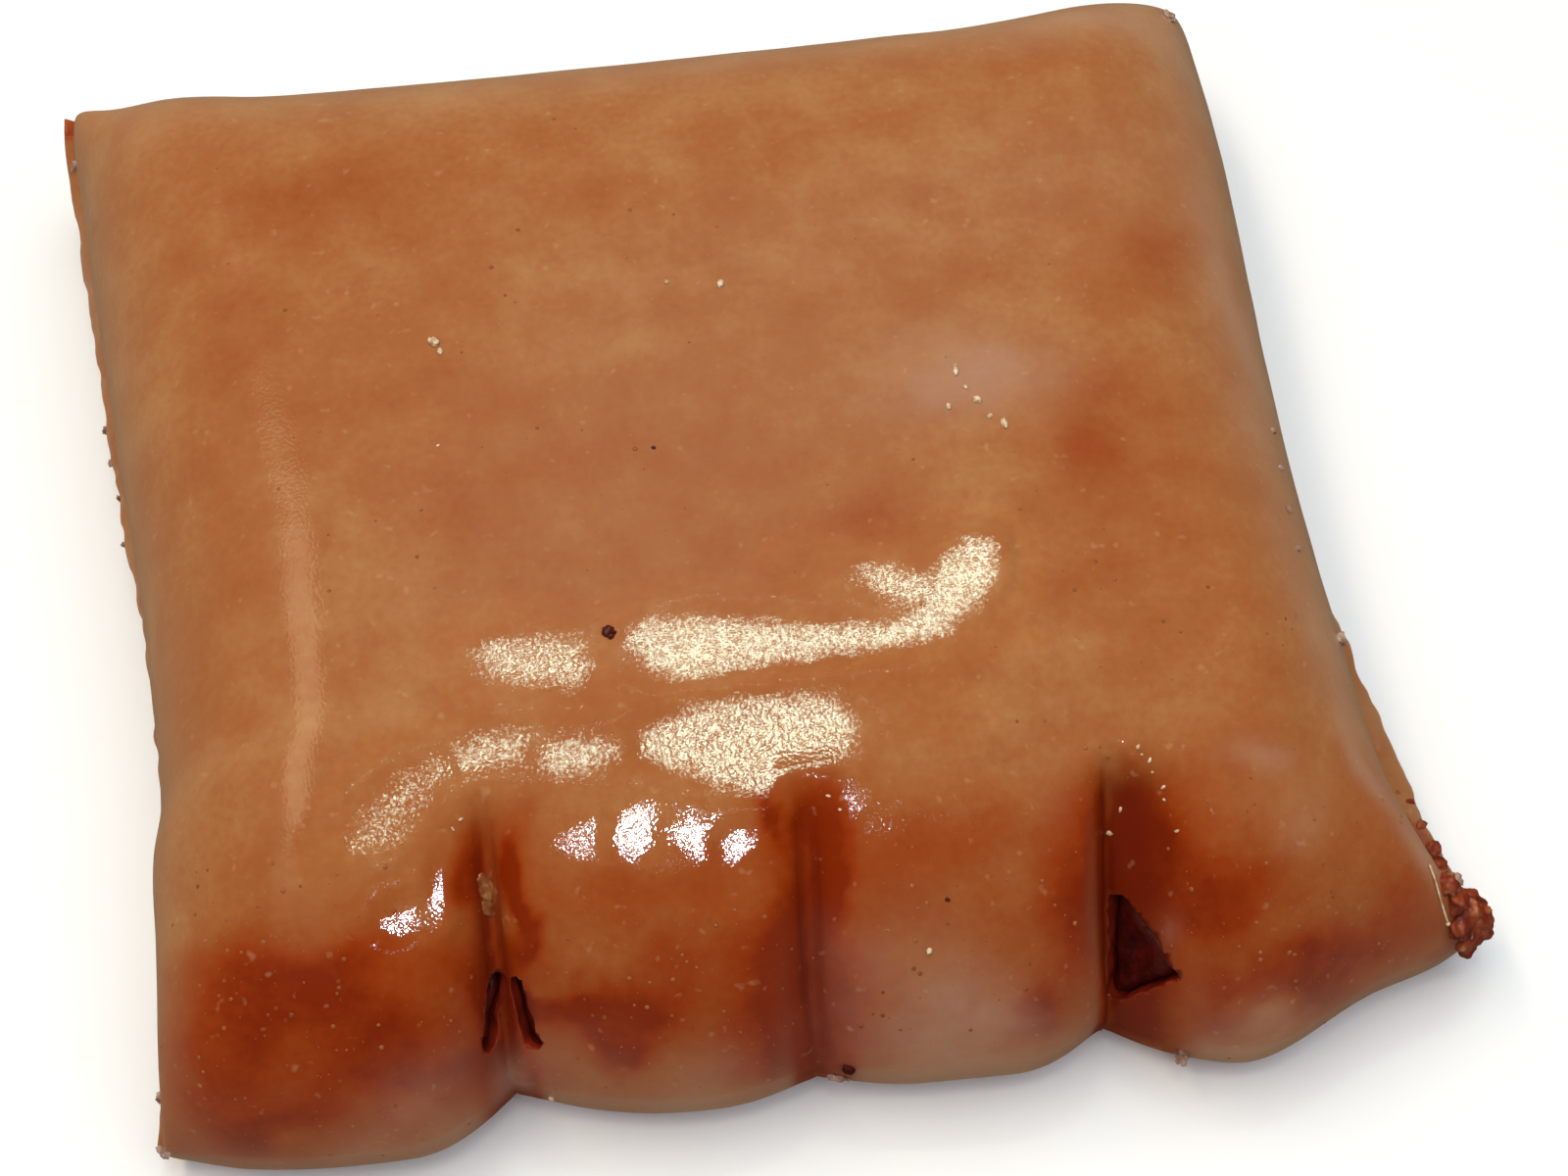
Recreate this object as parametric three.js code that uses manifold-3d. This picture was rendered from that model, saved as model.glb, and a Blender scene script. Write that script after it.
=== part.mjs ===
// Bear claw pastry: a square pillow of raised dough, closed along its left, right
// and back edges by a pinched seam, and cut three times through its rounded front
// so that four toes stand there.  A flat layer of dark filling lies in the toes.
//
// Millimetres, +Z up.  X runs along the toes, Y from the toes to the back, and the
// pastry rests on z = 0 with its footprint centred on the origin.

import * as THREE from 'three';
import { mergeVertices } from 'three/addons/utils/BufferGeometryUtils.js';
import Module from 'manifold-3d';

const wasm = await Module();
wasm.setup();

// ---------------------------------------------------------------- dimensions
// Plan sizes are measured from the middle of the line through the front corners;
// FOOTPRINT_CENTRE is the middle of the footprint in those measures.
const FOOTPRINT_CENTRE = [0.8, 48];

// Pinched edge of the seam, seen from above: [along, across] in mm.
const LEFT_EDGE = [[0.6, -56.4], [5, -55.7], [14, -55], [21, -54.6], [26, -53.6], [37, -53.6],
  [48, -54], [63, -55.1], [83, -56.4], [97, -56.9], [104.7, -56.4]];
const RIGHT_EDGE = [[-0.9, 57.6], [4, 56.2], [10, 55.4], [24, 54.2], [45, 52.5], [74, 54.2],
  [90, 55.2], [99.2, 55.6]];
const BACK_EDGE = [[-56.4, 104.7], [-51, 102.4], [-45, 101.4], [-36, 99.4], [-12, 97.4],
  [28, 95.6], [38, 96.2], [46, 97.4], [55.6, 99.2]];
const FRONT_EDGE = [[-56.4, 0.6], [-49, -2.8], [-37, -4.5], [-20, -3.9], [-11, -4.7], [0, -5.2],
  [12, -6], [23, -7], [31, -8.5], [37, -8.5], [46, -5], [53, -3], [57.6, -0.9]];

// How far the upper layer stays behind the seam's lip, along the left, right and back.
const LEFT_SETBACK = [[0, 0.8], [20, 1], [60, 1.2], [100, 1.6]];
const RIGHT_SETBACK = [[-1, 2.8], [4, 4], [10, 4.7], [24, 3.8], [45, 1.4], [70, 0.6], [100, 1]];
const BACK_SETBACK = [[-57, 2], [-40, 0.8], [40, 0.8], [55, 2]];

const TOP_HEIGHT = 29.6;
const DOME = { rise: 1.2, y: 54, reach: 34 };
const LIP_HEIGHT = 5;
const LIP_THICKNESS = 1.5;
const LIP_ROUNDING = 0.2;
// The front stands higher than the lip: between these left and right ends, and fading
// out towards the back over this stretch.
const FRONT_TIP_HEIGHT = 9;
const FRONT_TIP = { left: [-57, -50], right: [57, 46], back: [2, 16] };
// Groove above the lip: its height, the step up to the wall and where it runs.
const GROOVE_HEIGHT = 7.6;
const GROOVE_STEP = 1.4;
const GROOVE_DEPTH = 1.7;
const GROOVE_FADE = 9;
const SIDE_GROOVE_SPAN = [1, 102];
const BACK_GROOVE_SPAN = [-55, 54];
const GIRTH_HEIGHT = 11;
const SIDE_REACH = 18.5;
const SIDE_ROUNDNESS = 2.3;
const FRONT_REACH = 28;
const FRONT_ROUNDNESS = 1.75;

// Pinched corners: place, height of the tip above the lip and reach of the lift.
const CORNERS = [
  { x: -56.4, y: 0.6, lift: -1, reach: 7 },
  { x: 57.6, y: -0.9, lift: 2, reach: 7 },
  { x: -56.4, y: 104.7, lift: 8, reach: 9 },
  { x: 55.6, y: 99.2, lift: 2, reach: 8 },
];
const CORNER_FULLNESS = 1.3;

// The three cuts.  Each runs back from the front edge at x, leaning by slant, and is
// as deep as depth where it is deepest.  A shoulder is the width over which a toe rounds down into the cut; flatness 0 is a
// round shoulder, 1 a straight slope.  The notch is what the cut takes out of the
// front edge, and the slot is what it keeps clear of filling.
const CUTS = [
  { x: -26.4, slant: 1.2, length: 17, gap: 0.7, depth: 3.4,
    left: { shoulder: 4.5, flatness: 0.1 }, right: { shoulder: 3.6, flatness: 0.1 },
    notch: { depth: 4.2, left: 9, right: 12 },
    slot: [-2.6, 2.6] },
  { x: -1.2, slant: 2.2, length: 17, gap: 0.8, depth: 2.8,
    left: { shoulder: 3, flatness: 0.1 }, right: { shoulder: 4, flatness: 0.1 },
    notch: { depth: 2, left: 9, right: 9 },
    slot: [-2.6, 2.6] },
  { x: 23.8, slant: 1.4, length: 14.5, gap: 0.5, depth: 7,
    left: { shoulder: 2.6, flatness: 0 }, right: { shoulder: 7.5, flatness: 0.7 },
    notch: { depth: 4.2, left: 9, right: 12 },
    slot: [-2.6, 4] },
];
// Share of a cut's depth by share of its length, from the front edge.
const CUT_PROFILE = [[0, 0.6], [0.2, 1], [0.4, 0.92], [0.6, 0.78], [0.8, 0.5], [0.92, 0.18], [1, 0]];
const NOTCH_FADE = 15;

// Filling: a flat layer with thin rims, split into a tongue for each toe by the slots.
const FILLING = { left: -46, right: 47, behindFront: 7.5, back: 42, middle: 10.3, thickness: 4.6 };
const FILLING_RIM = 4;
const FILLING_RIM_STEPS = [0, 0.15, 0.5, 1];
const FILLING_COLUMNS = 9;
const FILLING_ROWS = 3;
const SLOT_FRONT = -20;
const SLOT_BACK = 24;
const SLOT_STEPS = 8;
const CAVITY_CLEARANCE = 0.4;

// Mouths where the filling shows: two slits in the walls of the first cut and a
// three-cornered one beside the third.  Each runs from its corners on the skin inward.
const MOUTHS = [
  { corners: [[-25.7, 5.4, 17.6], [-27.6, 1.4, 14.6]], radius: 0.8, into: [-0.6, 0.45, -0.65], depth: 7 },
  { corners: [[-24.7, 4.7, 18.6], [-24.3, 0.9, 14.2]], radius: 0.8, into: [0.6, 0.45, -0.65], depth: 7 },
  { corners: [[25, 3, 16.8], [24.4, -1.8, 9.2], [27.9, -3.1, 15]], radius: 0.9,
    into: [0.66, 0.62, -0.43], depth: 6 },
];
const MOUTH_RECESS = 1.3;
const BALL_DETAIL = 1;

// Ragged crumbs baked onto the pinched edge: place, height, radius and turn.
const CRAGS = [
  { x: 56.2, y: -0.6, z: 6.6, radius: 1.5, turn: 0.3 },
  { x: 54.9, y: 1.6, z: 7.2, radius: 1.3, turn: 1.1 },
  { x: 57.4, y: 0.6, z: 5.6, radius: 1.1, turn: 0.8 },
  { x: 56.3, y: 2.2, z: 5.9, radius: 0.9, turn: 0.2 },
  { x: 55.6, y: -2, z: 5.4, radius: 0.8, turn: 0.6 },
  { x: 54.2, y: 4.2, z: 6.2, radius: 1, turn: 0 },
  { x: 54.9, y: 6.4, z: 5.8, radius: 0.7, turn: 0.9 },
  { x: 55.6, y: 95.6, z: 5.4, radius: 1, turn: 0.5 },
  { x: 54.9, y: 84.5, z: 5.6, radius: 0.8, turn: 0.3 },
  { x: 54.9, y: 79.5, z: 5.8, radius: 0.9, turn: 1.4 },
];

// Under side: inset from the edge and share of the edge's height, ring by ring.
const UNDER_RINGS = [
  { front: 0.5, side: 0.7, level: 0.5 },
  { front: 2, side: 1.8, level: 0.16 },
  { front: 5, side: 3.5, level: 0 },
];

// Steps of the net of lines that the surface is laid out on.
const CROSSING_PASSES = 6;
const SIDE_STEPS = 8;
const FRONT_STEPS = 15;
const MIDDLE_STEPS = 7;
const TOE_STEPS = 4;
// Lines beside a cut's middle: up to 1 across its gap, from 1 to 2 across a shoulder.
const CUT_OFFSETS = [0, 0.5, 1, 1.03, 1.12, 1.3, 1.55, 1.8, 2];

// ---------------------------------------------------------------- small tools
const clamp = (value, low, high) => Math.min(high, Math.max(low, value));
const mix = (a, b, t) => a + (b - a) * t;

function smoothStep(low, high, value) {
  const t = clamp((value - low) / (high - low), 0, 1);
  return t * t * (3 - 2 * t);
}

// Smooth curve through [at, value] points, straight beyond its ends.
function curveThrough(points, at) {
  const last = points.length - 1;
  const slope = (a, b) => (points[b][1] - points[a][1]) / (points[b][0] - points[a][0]);
  if (at <= points[0][0]) return points[0][1] + (at - points[0][0]) * slope(0, 1);
  if (at >= points[last][0]) return points[last][1] + (at - points[last][0]) * slope(last - 1, last);
  let k = 0;
  while (at > points[k + 1][0]) k += 1;
  const step = points[k + 1][0] - points[k][0];
  const startSlope = slope(Math.max(k - 1, 0), k + 1);
  const endSlope = slope(k, Math.min(k + 2, last));
  const t = (at - points[k][0]) / step;
  const rise = t * t * (3 - 2 * t);
  return mix(points[k][1], points[k + 1][1], rise)
    + step * (startSlope * t * (1 - t) ** 2 - endSlope * t * t * (1 - t));
}

// ---------------------------------------------------------------- cuts and edges
// 1 at the middle of a cut, 0 where the toe's shoulder ends.
function cutShare(cut, across) {
  const side = across < 0 ? cut.left : cut.right;
  const t = clamp((Math.abs(across) - cut.gap) / side.shoulder, 0, 1);
  const round = 1 - Math.sqrt(1 - (1 - t) ** 2);
  return mix(round, 1 - smoothStep(0, 1, t), side.flatness);
}

function cutMiddle(cut, y) {
  return cut.x + cut.slant * clamp(y / cut.length, 0, 1);
}

// How far the cuts push the front edge back at x.
function notchDepth(x) {
  const depths = CUTS.map(({ x: middle, notch }) => {
    const width = x < middle ? notch.left : notch.right;
    const t = clamp(Math.abs(x - middle) / width, 0, 1);
    return notch.depth * (1 - t) ** 2;
  });
  return Math.max(...depths);
}

function frontEdge(x) {
  return curveThrough(FRONT_EDGE, x) + notchDepth(x);
}

function cornerLift(x, y) {
  const lifts = CORNERS.map(({ x: cx, y: cy, lift, reach }) => (
    lift * Math.exp(-((x - cx) ** 2 + (y - cy) ** 2) / reach ** 2)));
  return lifts.reduce((sum, lift) => sum + lift, 0);
}

// Height of the pinched edge and of the front's foremost line.
function edgeHeight(x, y) {
  const { left, right, back } = FRONT_TIP;
  const front = smoothStep(...left, x) * smoothStep(...right, x) * (1 - smoothStep(...back, y));
  return mix(LIP_HEIGHT, FRONT_TIP_HEIGHT, front) + cornerLift(x, y);
}

function topHeight(x, y) {
  const flat = (distance) => Math.exp(-((distance / DOME.reach) ** 4));
  return TOP_HEIGHT + DOME.rise * flat(x) * flat(y - DOME.y);
}

// ---------------------------------------------------------------- stations
// A station says how one line of the surface's net keeps to its edge: the inset from
// the pinched edge, the setback's and the groove's share in it, and the height share.
function seamStations() {
  const share = (height) => (height - LIP_HEIGHT) / (TOP_HEIGHT - LIP_HEIGHT);
  const girth = share(GIRTH_HEIGHT);
  const lip = share(LIP_HEIGHT + LIP_THICKNESS);
  const stations = [
    { inset: 0, setback: 0, groove: 0, height: 0 },
    { inset: LIP_ROUNDING, setback: 0, groove: 0, height: lip / 2 },
    { inset: LIP_ROUNDING, setback: 0.5, groove: 0.4, height: lip },
    { inset: LIP_ROUNDING, setback: 0.75, groove: 1, height: share(GROOVE_HEIGHT) },
    { inset: LIP_ROUNDING, setback: 0.85, groove: 0.4, height: share(GROOVE_HEIGHT + GROOVE_STEP) },
  ];
  for (let step = 0; step <= SIDE_STEPS; step += 1) {
    const angle = (step / SIDE_STEPS) * (Math.PI / 2);
    const progress = 1 - Math.cos(angle) ** (2 / SIDE_ROUNDNESS);
    stations.push({
      inset: LIP_ROUNDING + SIDE_REACH * progress,
      setback: 1 - progress ** 2,
      groove: 0,
      height: girth + (1 - girth) * Math.sin(angle) ** (2 / SIDE_ROUNDNESS),
    });
  }
  return stations;
}

function frontStations() {
  return Array.from({ length: FRONT_STEPS + 1 }, (_, step) => {
    const angle = (step / FRONT_STEPS) * (Math.PI / 2);
    return {
      inset: FRONT_REACH * (1 - Math.cos(angle) ** (2 / FRONT_ROUNDNESS)),
      height: Math.sin(angle) ** (2 / FRONT_ROUNDNESS),
    };
  });
}

// The groove runs out towards both ends of its side.
function grooveDepth(along, [start, end]) {
  const fromEnd = Math.min(along - start, end - along);
  return GROOVE_DEPTH * smoothStep(0, GROOVE_FADE, fromEnd);
}

const SEAM = seamStations();
const FRONT = frontStations();

// Lines that run from front to back: each gives x for a y, and its height share.
function lengthwiseLines() {
  const seamLine = (station, edge, setback, inward) => ({
    x: (y) => {
      const inset = station.inset + station.setback * curveThrough(setback, y);
      const groove = station.groove * grooveDepth(y, SIDE_GROOVE_SPAN);
      return curveThrough(edge, y) + inward * (inset + groove);
    },
    height: station.height,
  });
  const cutLine = (cut, offset) => {
    const side = offset < 0 ? cut.left : cut.right;
    const size = Math.abs(offset);
    const reach = size <= 1 ? cut.gap * size : cut.gap + side.shoulder * (size - 1);
    return { x: (y) => cutMiddle(cut, y) + Math.sign(offset) * reach, height: 1 };
  };
  const groups = [SEAM.map((station) => seamLine(station, LEFT_EDGE, LEFT_SETBACK, 1))];
  for (const cut of CUTS) {
    const offsets = [...CUT_OFFSETS.slice(1).reverse().map((offset) => -offset), ...CUT_OFFSETS];
    groups.push(offsets.map((offset) => cutLine(cut, offset)));
  }
  groups.push(SEAM.map((station) => seamLine(station, RIGHT_EDGE, RIGHT_SETBACK, -1)).reverse());

  const lines = [...groups[0]];
  for (const group of groups.slice(1)) {
    const before = lines[lines.length - 1];
    const after = group[0];
    for (let step = 1; step < TOE_STEPS; step += 1) {
      const share = step / TOE_STEPS;
      lines.push({ x: (y) => mix(before.x(y), after.x(y), share), height: 1 });
    }
    lines.push(...group);
  }
  return lines;
}

// Lines that run from left to right: each gives y for an x, and its height share.
function crosswiseLines() {
  const lines = FRONT.map((station) => {
    const notchShare = 1 - smoothStep(0, NOTCH_FADE, station.inset);
    return {
      y: (x) => curveThrough(FRONT_EDGE, x) + station.inset + notchShare * notchDepth(x),
      height: station.height,
    };
  });
  const back = SEAM.map((station) => ({
    y: (x) => {
      const inset = station.inset + station.setback * curveThrough(BACK_SETBACK, x);
      const groove = station.groove * grooveDepth(x, BACK_GROOVE_SPAN);
      return curveThrough(BACK_EDGE, x) - inset - groove;
    },
    height: station.height,
  })).reverse();
  const before = lines[lines.length - 1];
  for (let step = 1; step < MIDDLE_STEPS; step += 1) {
    const share = step / MIDDLE_STEPS;
    lines.push({ y: (x) => mix(before.y(x), back[0].y(x), share), height: 1 });
  }
  return [...lines, ...back];
}

// Where two lines cross, seen from above.
function crossing(lengthwise, crosswise) {
  let y = 0;
  let x = 0;
  for (let pass = 0; pass < CROSSING_PASSES; pass += 1) {
    x = lengthwise.x(y);
    y = crosswise.y(x);
  }
  return [x, y];
}

// Height share of a point from the shares of its two lines, full towards the corners.
function heightShare(lengthwise, crosswise) {
  const corner = (1 - lengthwise) * (1 - crosswise);
  return lengthwise * crosswise * (1 + CORNER_FULLNESS * corner);
}

// Height of the upper surface there, sunk into the cuts.
function upperHeight(x, y, share) {
  const closed = mix(edgeHeight(x, y), topHeight(x, y), share);
  const depths = CUTS.map((cut) => {
    const along = clamp((y - frontEdge(cut.x)) / cut.length, 0, 1);
    return cut.depth * curveThrough(CUT_PROFILE, along) * cutShare(cut, x - cutMiddle(cut, y));
  });
  return closed - Math.max(...depths);
}

// ---------------------------------------------------------------- solids
function toSolid(positions, triangles) {
  const mesh = new wasm.Mesh({
    numProp: 3,
    vertProperties: new Float32Array(positions.flat()),
    triVerts: new Uint32Array(triangles.flat()),
  });
  return new wasm.Manifold(mesh);
}

function geometryToSolid(source) {
  const geometry = source.clone();
  geometry.deleteAttribute('normal');
  geometry.deleteAttribute('uv');
  const merged = mergeVertices(geometry);
  return new wasm.Manifold(new wasm.Mesh({
    numProp: 3,
    vertProperties: new Float32Array(merged.attributes.position.array),
    triVerts: new Uint32Array(merged.index.array),
  }));
}

// Two triangles for a four-sided patch, split along its shorter diagonal.
function splitQuad(positions, a, b, c, d) {
  const distance = (p, q) => (
    Math.hypot(...positions[p].map((value, axis) => value - positions[q][axis])));
  return distance(a, c) <= distance(b, d) ? [[a, b, c], [a, c, d]] : [[a, b, d], [b, c, d]];
}

function outerSolid() {
  const lengthwise = lengthwiseLines();
  const crosswise = crosswiseLines();
  const columns = lengthwise.length;
  const rows = crosswise.length;
  const positions = [];
  const triangles = [];
  const vertexAt = (column, row) => row * columns + column;

  for (const across of crosswise) {
    for (const along of lengthwise) {
      const [x, y] = crossing(along, across);
      positions.push([x, y, upperHeight(x, y, heightShare(along.height, across.height))]);
    }
  }
  for (let row = 0; row + 1 < rows; row += 1) {
    for (let column = 0; column + 1 < columns; column += 1) {
      const [a, b] = [vertexAt(column, row), vertexAt(column + 1, row)];
      const [c, d] = [vertexAt(column + 1, row + 1), vertexAt(column, row + 1)];
      triangles.push(...splitQuad(positions, a, b, c, d));
    }
  }

  // The rim in order, anticlockwise seen from above.
  const rim = [];
  for (let column = 0; column + 1 < columns; column += 1) rim.push(vertexAt(column, 0));
  for (let row = 0; row + 1 < rows; row += 1) rim.push(vertexAt(columns - 1, row));
  for (let column = columns - 1; column > 0; column -= 1) rim.push(vertexAt(column, rows - 1));
  for (let row = rows - 1; row > 0; row -= 1) rim.push(vertexAt(0, row));

  let above = rim;
  for (const ring of UNDER_RINGS) {
    const below = rim.map((vertex) => {
      const [x, y, z] = positions[vertex];
      positions.push([...insetFromEdges(x, y, ring), z * ring.level]);
      return positions.length - 1;
    });
    for (let k = 0; k < rim.length; k += 1) {
      const next = (k + 1) % rim.length;
      triangles.push([above[next], above[k], below[k]], [above[next], below[k], below[next]]);
    }
    above = below;
  }
  const outline = above.map((vertex) => new THREE.Vector2(...positions[vertex].slice(0, 2)));
  for (const [a, b, c] of THREE.ShapeUtils.triangulateShape(outline, [])) {
    triangles.push([above[a], above[c], above[b]]);
  }
  return toSolid(positions, triangles);
}

// Moves a point of the rim inward from the edge that it lies on, and less the further
// it is from that edge already.
function insetFromEdges(x, y, ring) {
  const pull = (distance, inset) => {
    const fade = 3 * inset + 1;
    return distance + inset * (1 - smoothStep(0, fade, distance));
  };
  const leftEdge = curveThrough(LEFT_EDGE, y);
  const rightEdge = curveThrough(RIGHT_EDGE, y);
  const newX = x < 0
    ? leftEdge + pull(x - leftEdge, ring.side)
    : rightEdge - pull(rightEdge - x, ring.side);
  const backEdge = curveThrough(BACK_EDGE, newX);
  const front = frontEdge(newX);
  const newY = y < FOOTPRINT_CENTRE[1]
    ? front + pull(y - frontEdge(x), ring.front)
    : backEdge - pull(curveThrough(BACK_EDGE, x) - y, ring.side);
  return [newX, newY];
}

// Positions along a stretch of the filling: close together at both rims.
function rimmedSteps(start, end, inner) {
  const rim = FILLING_RIM_STEPS.map((share) => share * FILLING_RIM);
  const steps = rim.map((inset) => start + inset);
  for (let k = 1; k <= inner; k += 1) {
    steps.push(mix(start + FILLING_RIM, end - FILLING_RIM, k / (inner + 1)));
  }
  return [...steps, ...rim.map((inset) => end - inset).reverse()];
}

function rimShare(distance) {
  const t = clamp(distance / FILLING_RIM, 0, 1);
  return Math.sqrt(1 - (1 - t) ** 2);
}

// The whole layer of filling, grown by a clearance where it stands for its cavity.
function fillingLayer(clearance) {
  const left = FILLING.left - clearance;
  const right = FILLING.right + clearance;
  const back = FILLING.back + clearance;
  const xs = rimmedSteps(left, right, FILLING_COLUMNS);
  const rowCount = rimmedSteps(0, back, FILLING_ROWS).length;
  const half = FILLING.thickness / 2 + clearance;
  const positions = [];
  for (const side of [1, -1]) {
    for (let row = 0; row < rowCount; row += 1) {
      for (const x of xs) {
        const front = curveThrough(FRONT_EDGE, x) + FILLING.behindFront - clearance;
        const y = rimmedSteps(front, back, FILLING_ROWS)[row];
        const rim = rimShare(Math.min(x - left, right - x)) * rimShare(Math.min(y - front, back - y));
        positions.push([x, y, FILLING.middle + side * half * rim]);
      }
    }
  }
  const columnCount = xs.length;
  const sheetSize = columnCount * rowCount;
  const vertexAt = (sheet, column, row) => {
    const onRim = row === 0 || row === rowCount - 1 || column === 0 || column === columnCount - 1;
    return (onRim ? 0 : sheet * sheetSize) + row * columnCount + column;
  };
  const triangles = [];
  for (let row = 0; row + 1 < rowCount; row += 1) {
    for (let column = 0; column + 1 < columnCount; column += 1) {
      const patch = [[column, row], [column + 1, row], [column + 1, row + 1], [column, row + 1]];
      const sameSides = (2 * column + 2 > columnCount) === (2 * row + 2 > rowCount);
      const [a, b, c, d] = sameSides ? patch : [...patch.slice(1), patch[0]];
      for (const [p, q, r] of [[a, b, c], [a, c, d]]) {
        triangles.push([p, q, r].map((corner) => vertexAt(0, ...corner)));
        triangles.push([p, r, q].map((corner) => vertexAt(1, ...corner)));
      }
    }
  }
  return toSolid(positions, triangles);
}

// Upright slot round a cut, with a rounded back end.
function slotSolid(cut, clearance) {
  const left = cutMiddle(cut, SLOT_BACK / 2) + cut.slot[0] + clearance;
  const right = cutMiddle(cut, SLOT_BACK / 2) + cut.slot[1] - clearance;
  const radius = (right - left) / 2;
  const outline = new THREE.Shape();
  outline.moveTo(left, SLOT_FRONT);
  outline.lineTo(right, SLOT_FRONT);
  outline.absarc(left + radius, SLOT_BACK - clearance - radius, radius, 0, Math.PI, false);
  const slot = new THREE.ExtrudeGeometry(outline, {
    depth: 2 * FILLING.middle, bevelEnabled: false, curveSegments: SLOT_STEPS,
  });
  return geometryToSolid(slot);
}

// A mouth's hollow, or the filling in it, made smaller and starting behind the skin.
function mouthSolid({ corners, radius, into, depth }, inset, start) {
  const inward = new THREE.Vector3(...into).normalize();
  const balls = [];
  for (const corner of corners) {
    for (const distance of [start, depth]) {
      const place = new THREE.Vector3(...corner).addScaledVector(inward, distance);
      const ball = new THREE.IcosahedronGeometry(radius - inset, BALL_DETAIL);
      ball.translate(place.x, place.y, place.z);
      balls.push(geometryToSolid(ball));
    }
  }
  return wasm.Manifold.hull(balls);
}

// The layer of filling with its mouths: grown by the clearance, it is the hollow that
// the dough keeps for it.
function fillingSolid(clearance) {
  let solid = fillingLayer(clearance);
  for (const cut of CUTS) {
    solid = solid.subtract(slotSolid(cut, clearance));
  }
  const inset = CAVITY_CLEARANCE - clearance;
  const start = inset > 0 ? MOUTH_RECESS : 0;
  for (const mouth of MOUTHS) {
    solid = solid.add(mouthSolid(mouth, inset, start));
  }
  return solid;
}

function cragSolid({ x, y, z, radius, turn }) {
  const crag = new THREE.IcosahedronGeometry(radius, 0);
  crag.rotateZ(turn);
  crag.translate(x, y, z);
  return geometryToSolid(crag);
}

function toGeometry(solid) {
  const mesh = solid.getMesh();
  const geometry = new THREE.BufferGeometry();
  geometry.setAttribute('position', new THREE.BufferAttribute(mesh.vertProperties, 3));
  geometry.setIndex(new THREE.BufferAttribute(mesh.triVerts, 1));
  geometry.translate(-FOOTPRINT_CENTRE[0], -FOOTPRINT_CENTRE[1], 0);
  return mergeVertices(geometry);
}

// ---------------------------------------------------------------- model
const doughMaterial = new THREE.MeshStandardMaterial({
  color: 0xa86a42, roughness: 0.35, metalness: 0,
});
const fillingMaterial = new THREE.MeshStandardMaterial({
  color: 0x3a0d08, roughness: 0.3, metalness: 0,
});

function doughPart() {
  let solid = outerSolid();
  for (const crag of CRAGS) {
    solid = solid.add(cragSolid(crag));
  }
  const dough = new THREE.Mesh(toGeometry(solid.subtract(fillingSolid(CAVITY_CLEARANCE))), doughMaterial);
  dough.name = 'dough';
  return dough;
}

function fillingPart() {
  const filling = new THREE.Mesh(toGeometry(fillingSolid(0)), fillingMaterial);
  filling.name = 'filling';
  return filling;
}

const pastry = new THREE.Group();
pastry.add(doughPart());
pastry.add(fillingPart());

export default pastry;
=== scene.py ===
"""A glazed bear claw pastry on a pale floor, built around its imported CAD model.

Its skin is laid out on a fine net of lines, then gets its relief and the shares that paint
it.  Sizes are in millimetres until a mesh is made.  Details are placed by pixels of the
1600 x 1200 picture, which a ray from the camera finds on the skin.
"""

from math import ceil, copysign, cos, pi, radians, sin

import bmesh
import bpy
import numpy as np
from mathutils import Matrix, Vector, noise
from mathutils.bvhtree import BVHTree


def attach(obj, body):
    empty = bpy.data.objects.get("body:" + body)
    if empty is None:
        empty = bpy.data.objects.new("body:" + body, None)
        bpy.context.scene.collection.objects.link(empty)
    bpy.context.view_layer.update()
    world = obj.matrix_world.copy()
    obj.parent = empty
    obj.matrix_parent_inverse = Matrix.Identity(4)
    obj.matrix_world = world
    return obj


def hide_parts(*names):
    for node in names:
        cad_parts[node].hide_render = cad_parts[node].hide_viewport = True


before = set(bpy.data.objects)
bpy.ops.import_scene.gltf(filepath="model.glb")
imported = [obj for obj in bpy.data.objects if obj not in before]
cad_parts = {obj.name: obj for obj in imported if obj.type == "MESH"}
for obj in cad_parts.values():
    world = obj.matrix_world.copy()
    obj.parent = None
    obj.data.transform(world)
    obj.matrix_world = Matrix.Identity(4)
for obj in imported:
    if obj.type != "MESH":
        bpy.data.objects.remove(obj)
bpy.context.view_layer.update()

MM = 0.001

# ---- camera
IMAGE_SIZE = (1600, 1200)
LENS = 65.25
SENSOR = 36.0
CAMERA_PLACE = np.array([-19.97, -133.04, 232.1])
CAMERA_DOWN = radians(60.0)
CAMERA_TURN = radians(10.4)

FORWARD = np.array([
    sin(CAMERA_TURN) * cos(CAMERA_DOWN),
    cos(CAMERA_TURN) * cos(CAMERA_DOWN),
    -sin(CAMERA_DOWN),
])
RIGHTWARD = np.array([cos(CAMERA_TURN), -sin(CAMERA_TURN), 0.0])
UPWARD = np.cross(RIGHTWARD, FORWARD)

# ---- the pastry's form
# The same measures as the solids': x along the toes, y from the line through the front
# corners to the back, with the footprint's middle at MIDDLE.
MIDDLE = np.array([0.8, 48.0, 0.0])

LEFT_EDGE = [(0.6, -56.4), (5, -55.7), (14, -55), (21, -54.6), (26, -53.6), (37, -53.6),
             (48, -54), (63, -55.1), (83, -56.4), (97, -56.9), (104.7, -56.4)]
RIGHT_EDGE = [(-0.9, 57.6), (4, 56.2), (10, 55.4), (24, 54.2), (45, 52.5), (74, 54.2),
              (90, 55.2), (99.2, 55.6)]
BACK_EDGE = [(-56.4, 104.7), (-51, 102.4), (-45, 101.4), (-36, 99.4), (-12, 97.4),
             (28, 95.6), (38, 96.2), (46, 97.4), (55.6, 99.2)]
FRONT_EDGE = [(-56.4, 0.6), (-49, -2.8), (-37, -4.5), (-20, -3.9), (-11, -4.7), (0, -5.2),
              (12, -6), (23, -7), (31, -8.5), (37, -8.5), (46, -5), (53, -3), (57.6, -0.9)]

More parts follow.
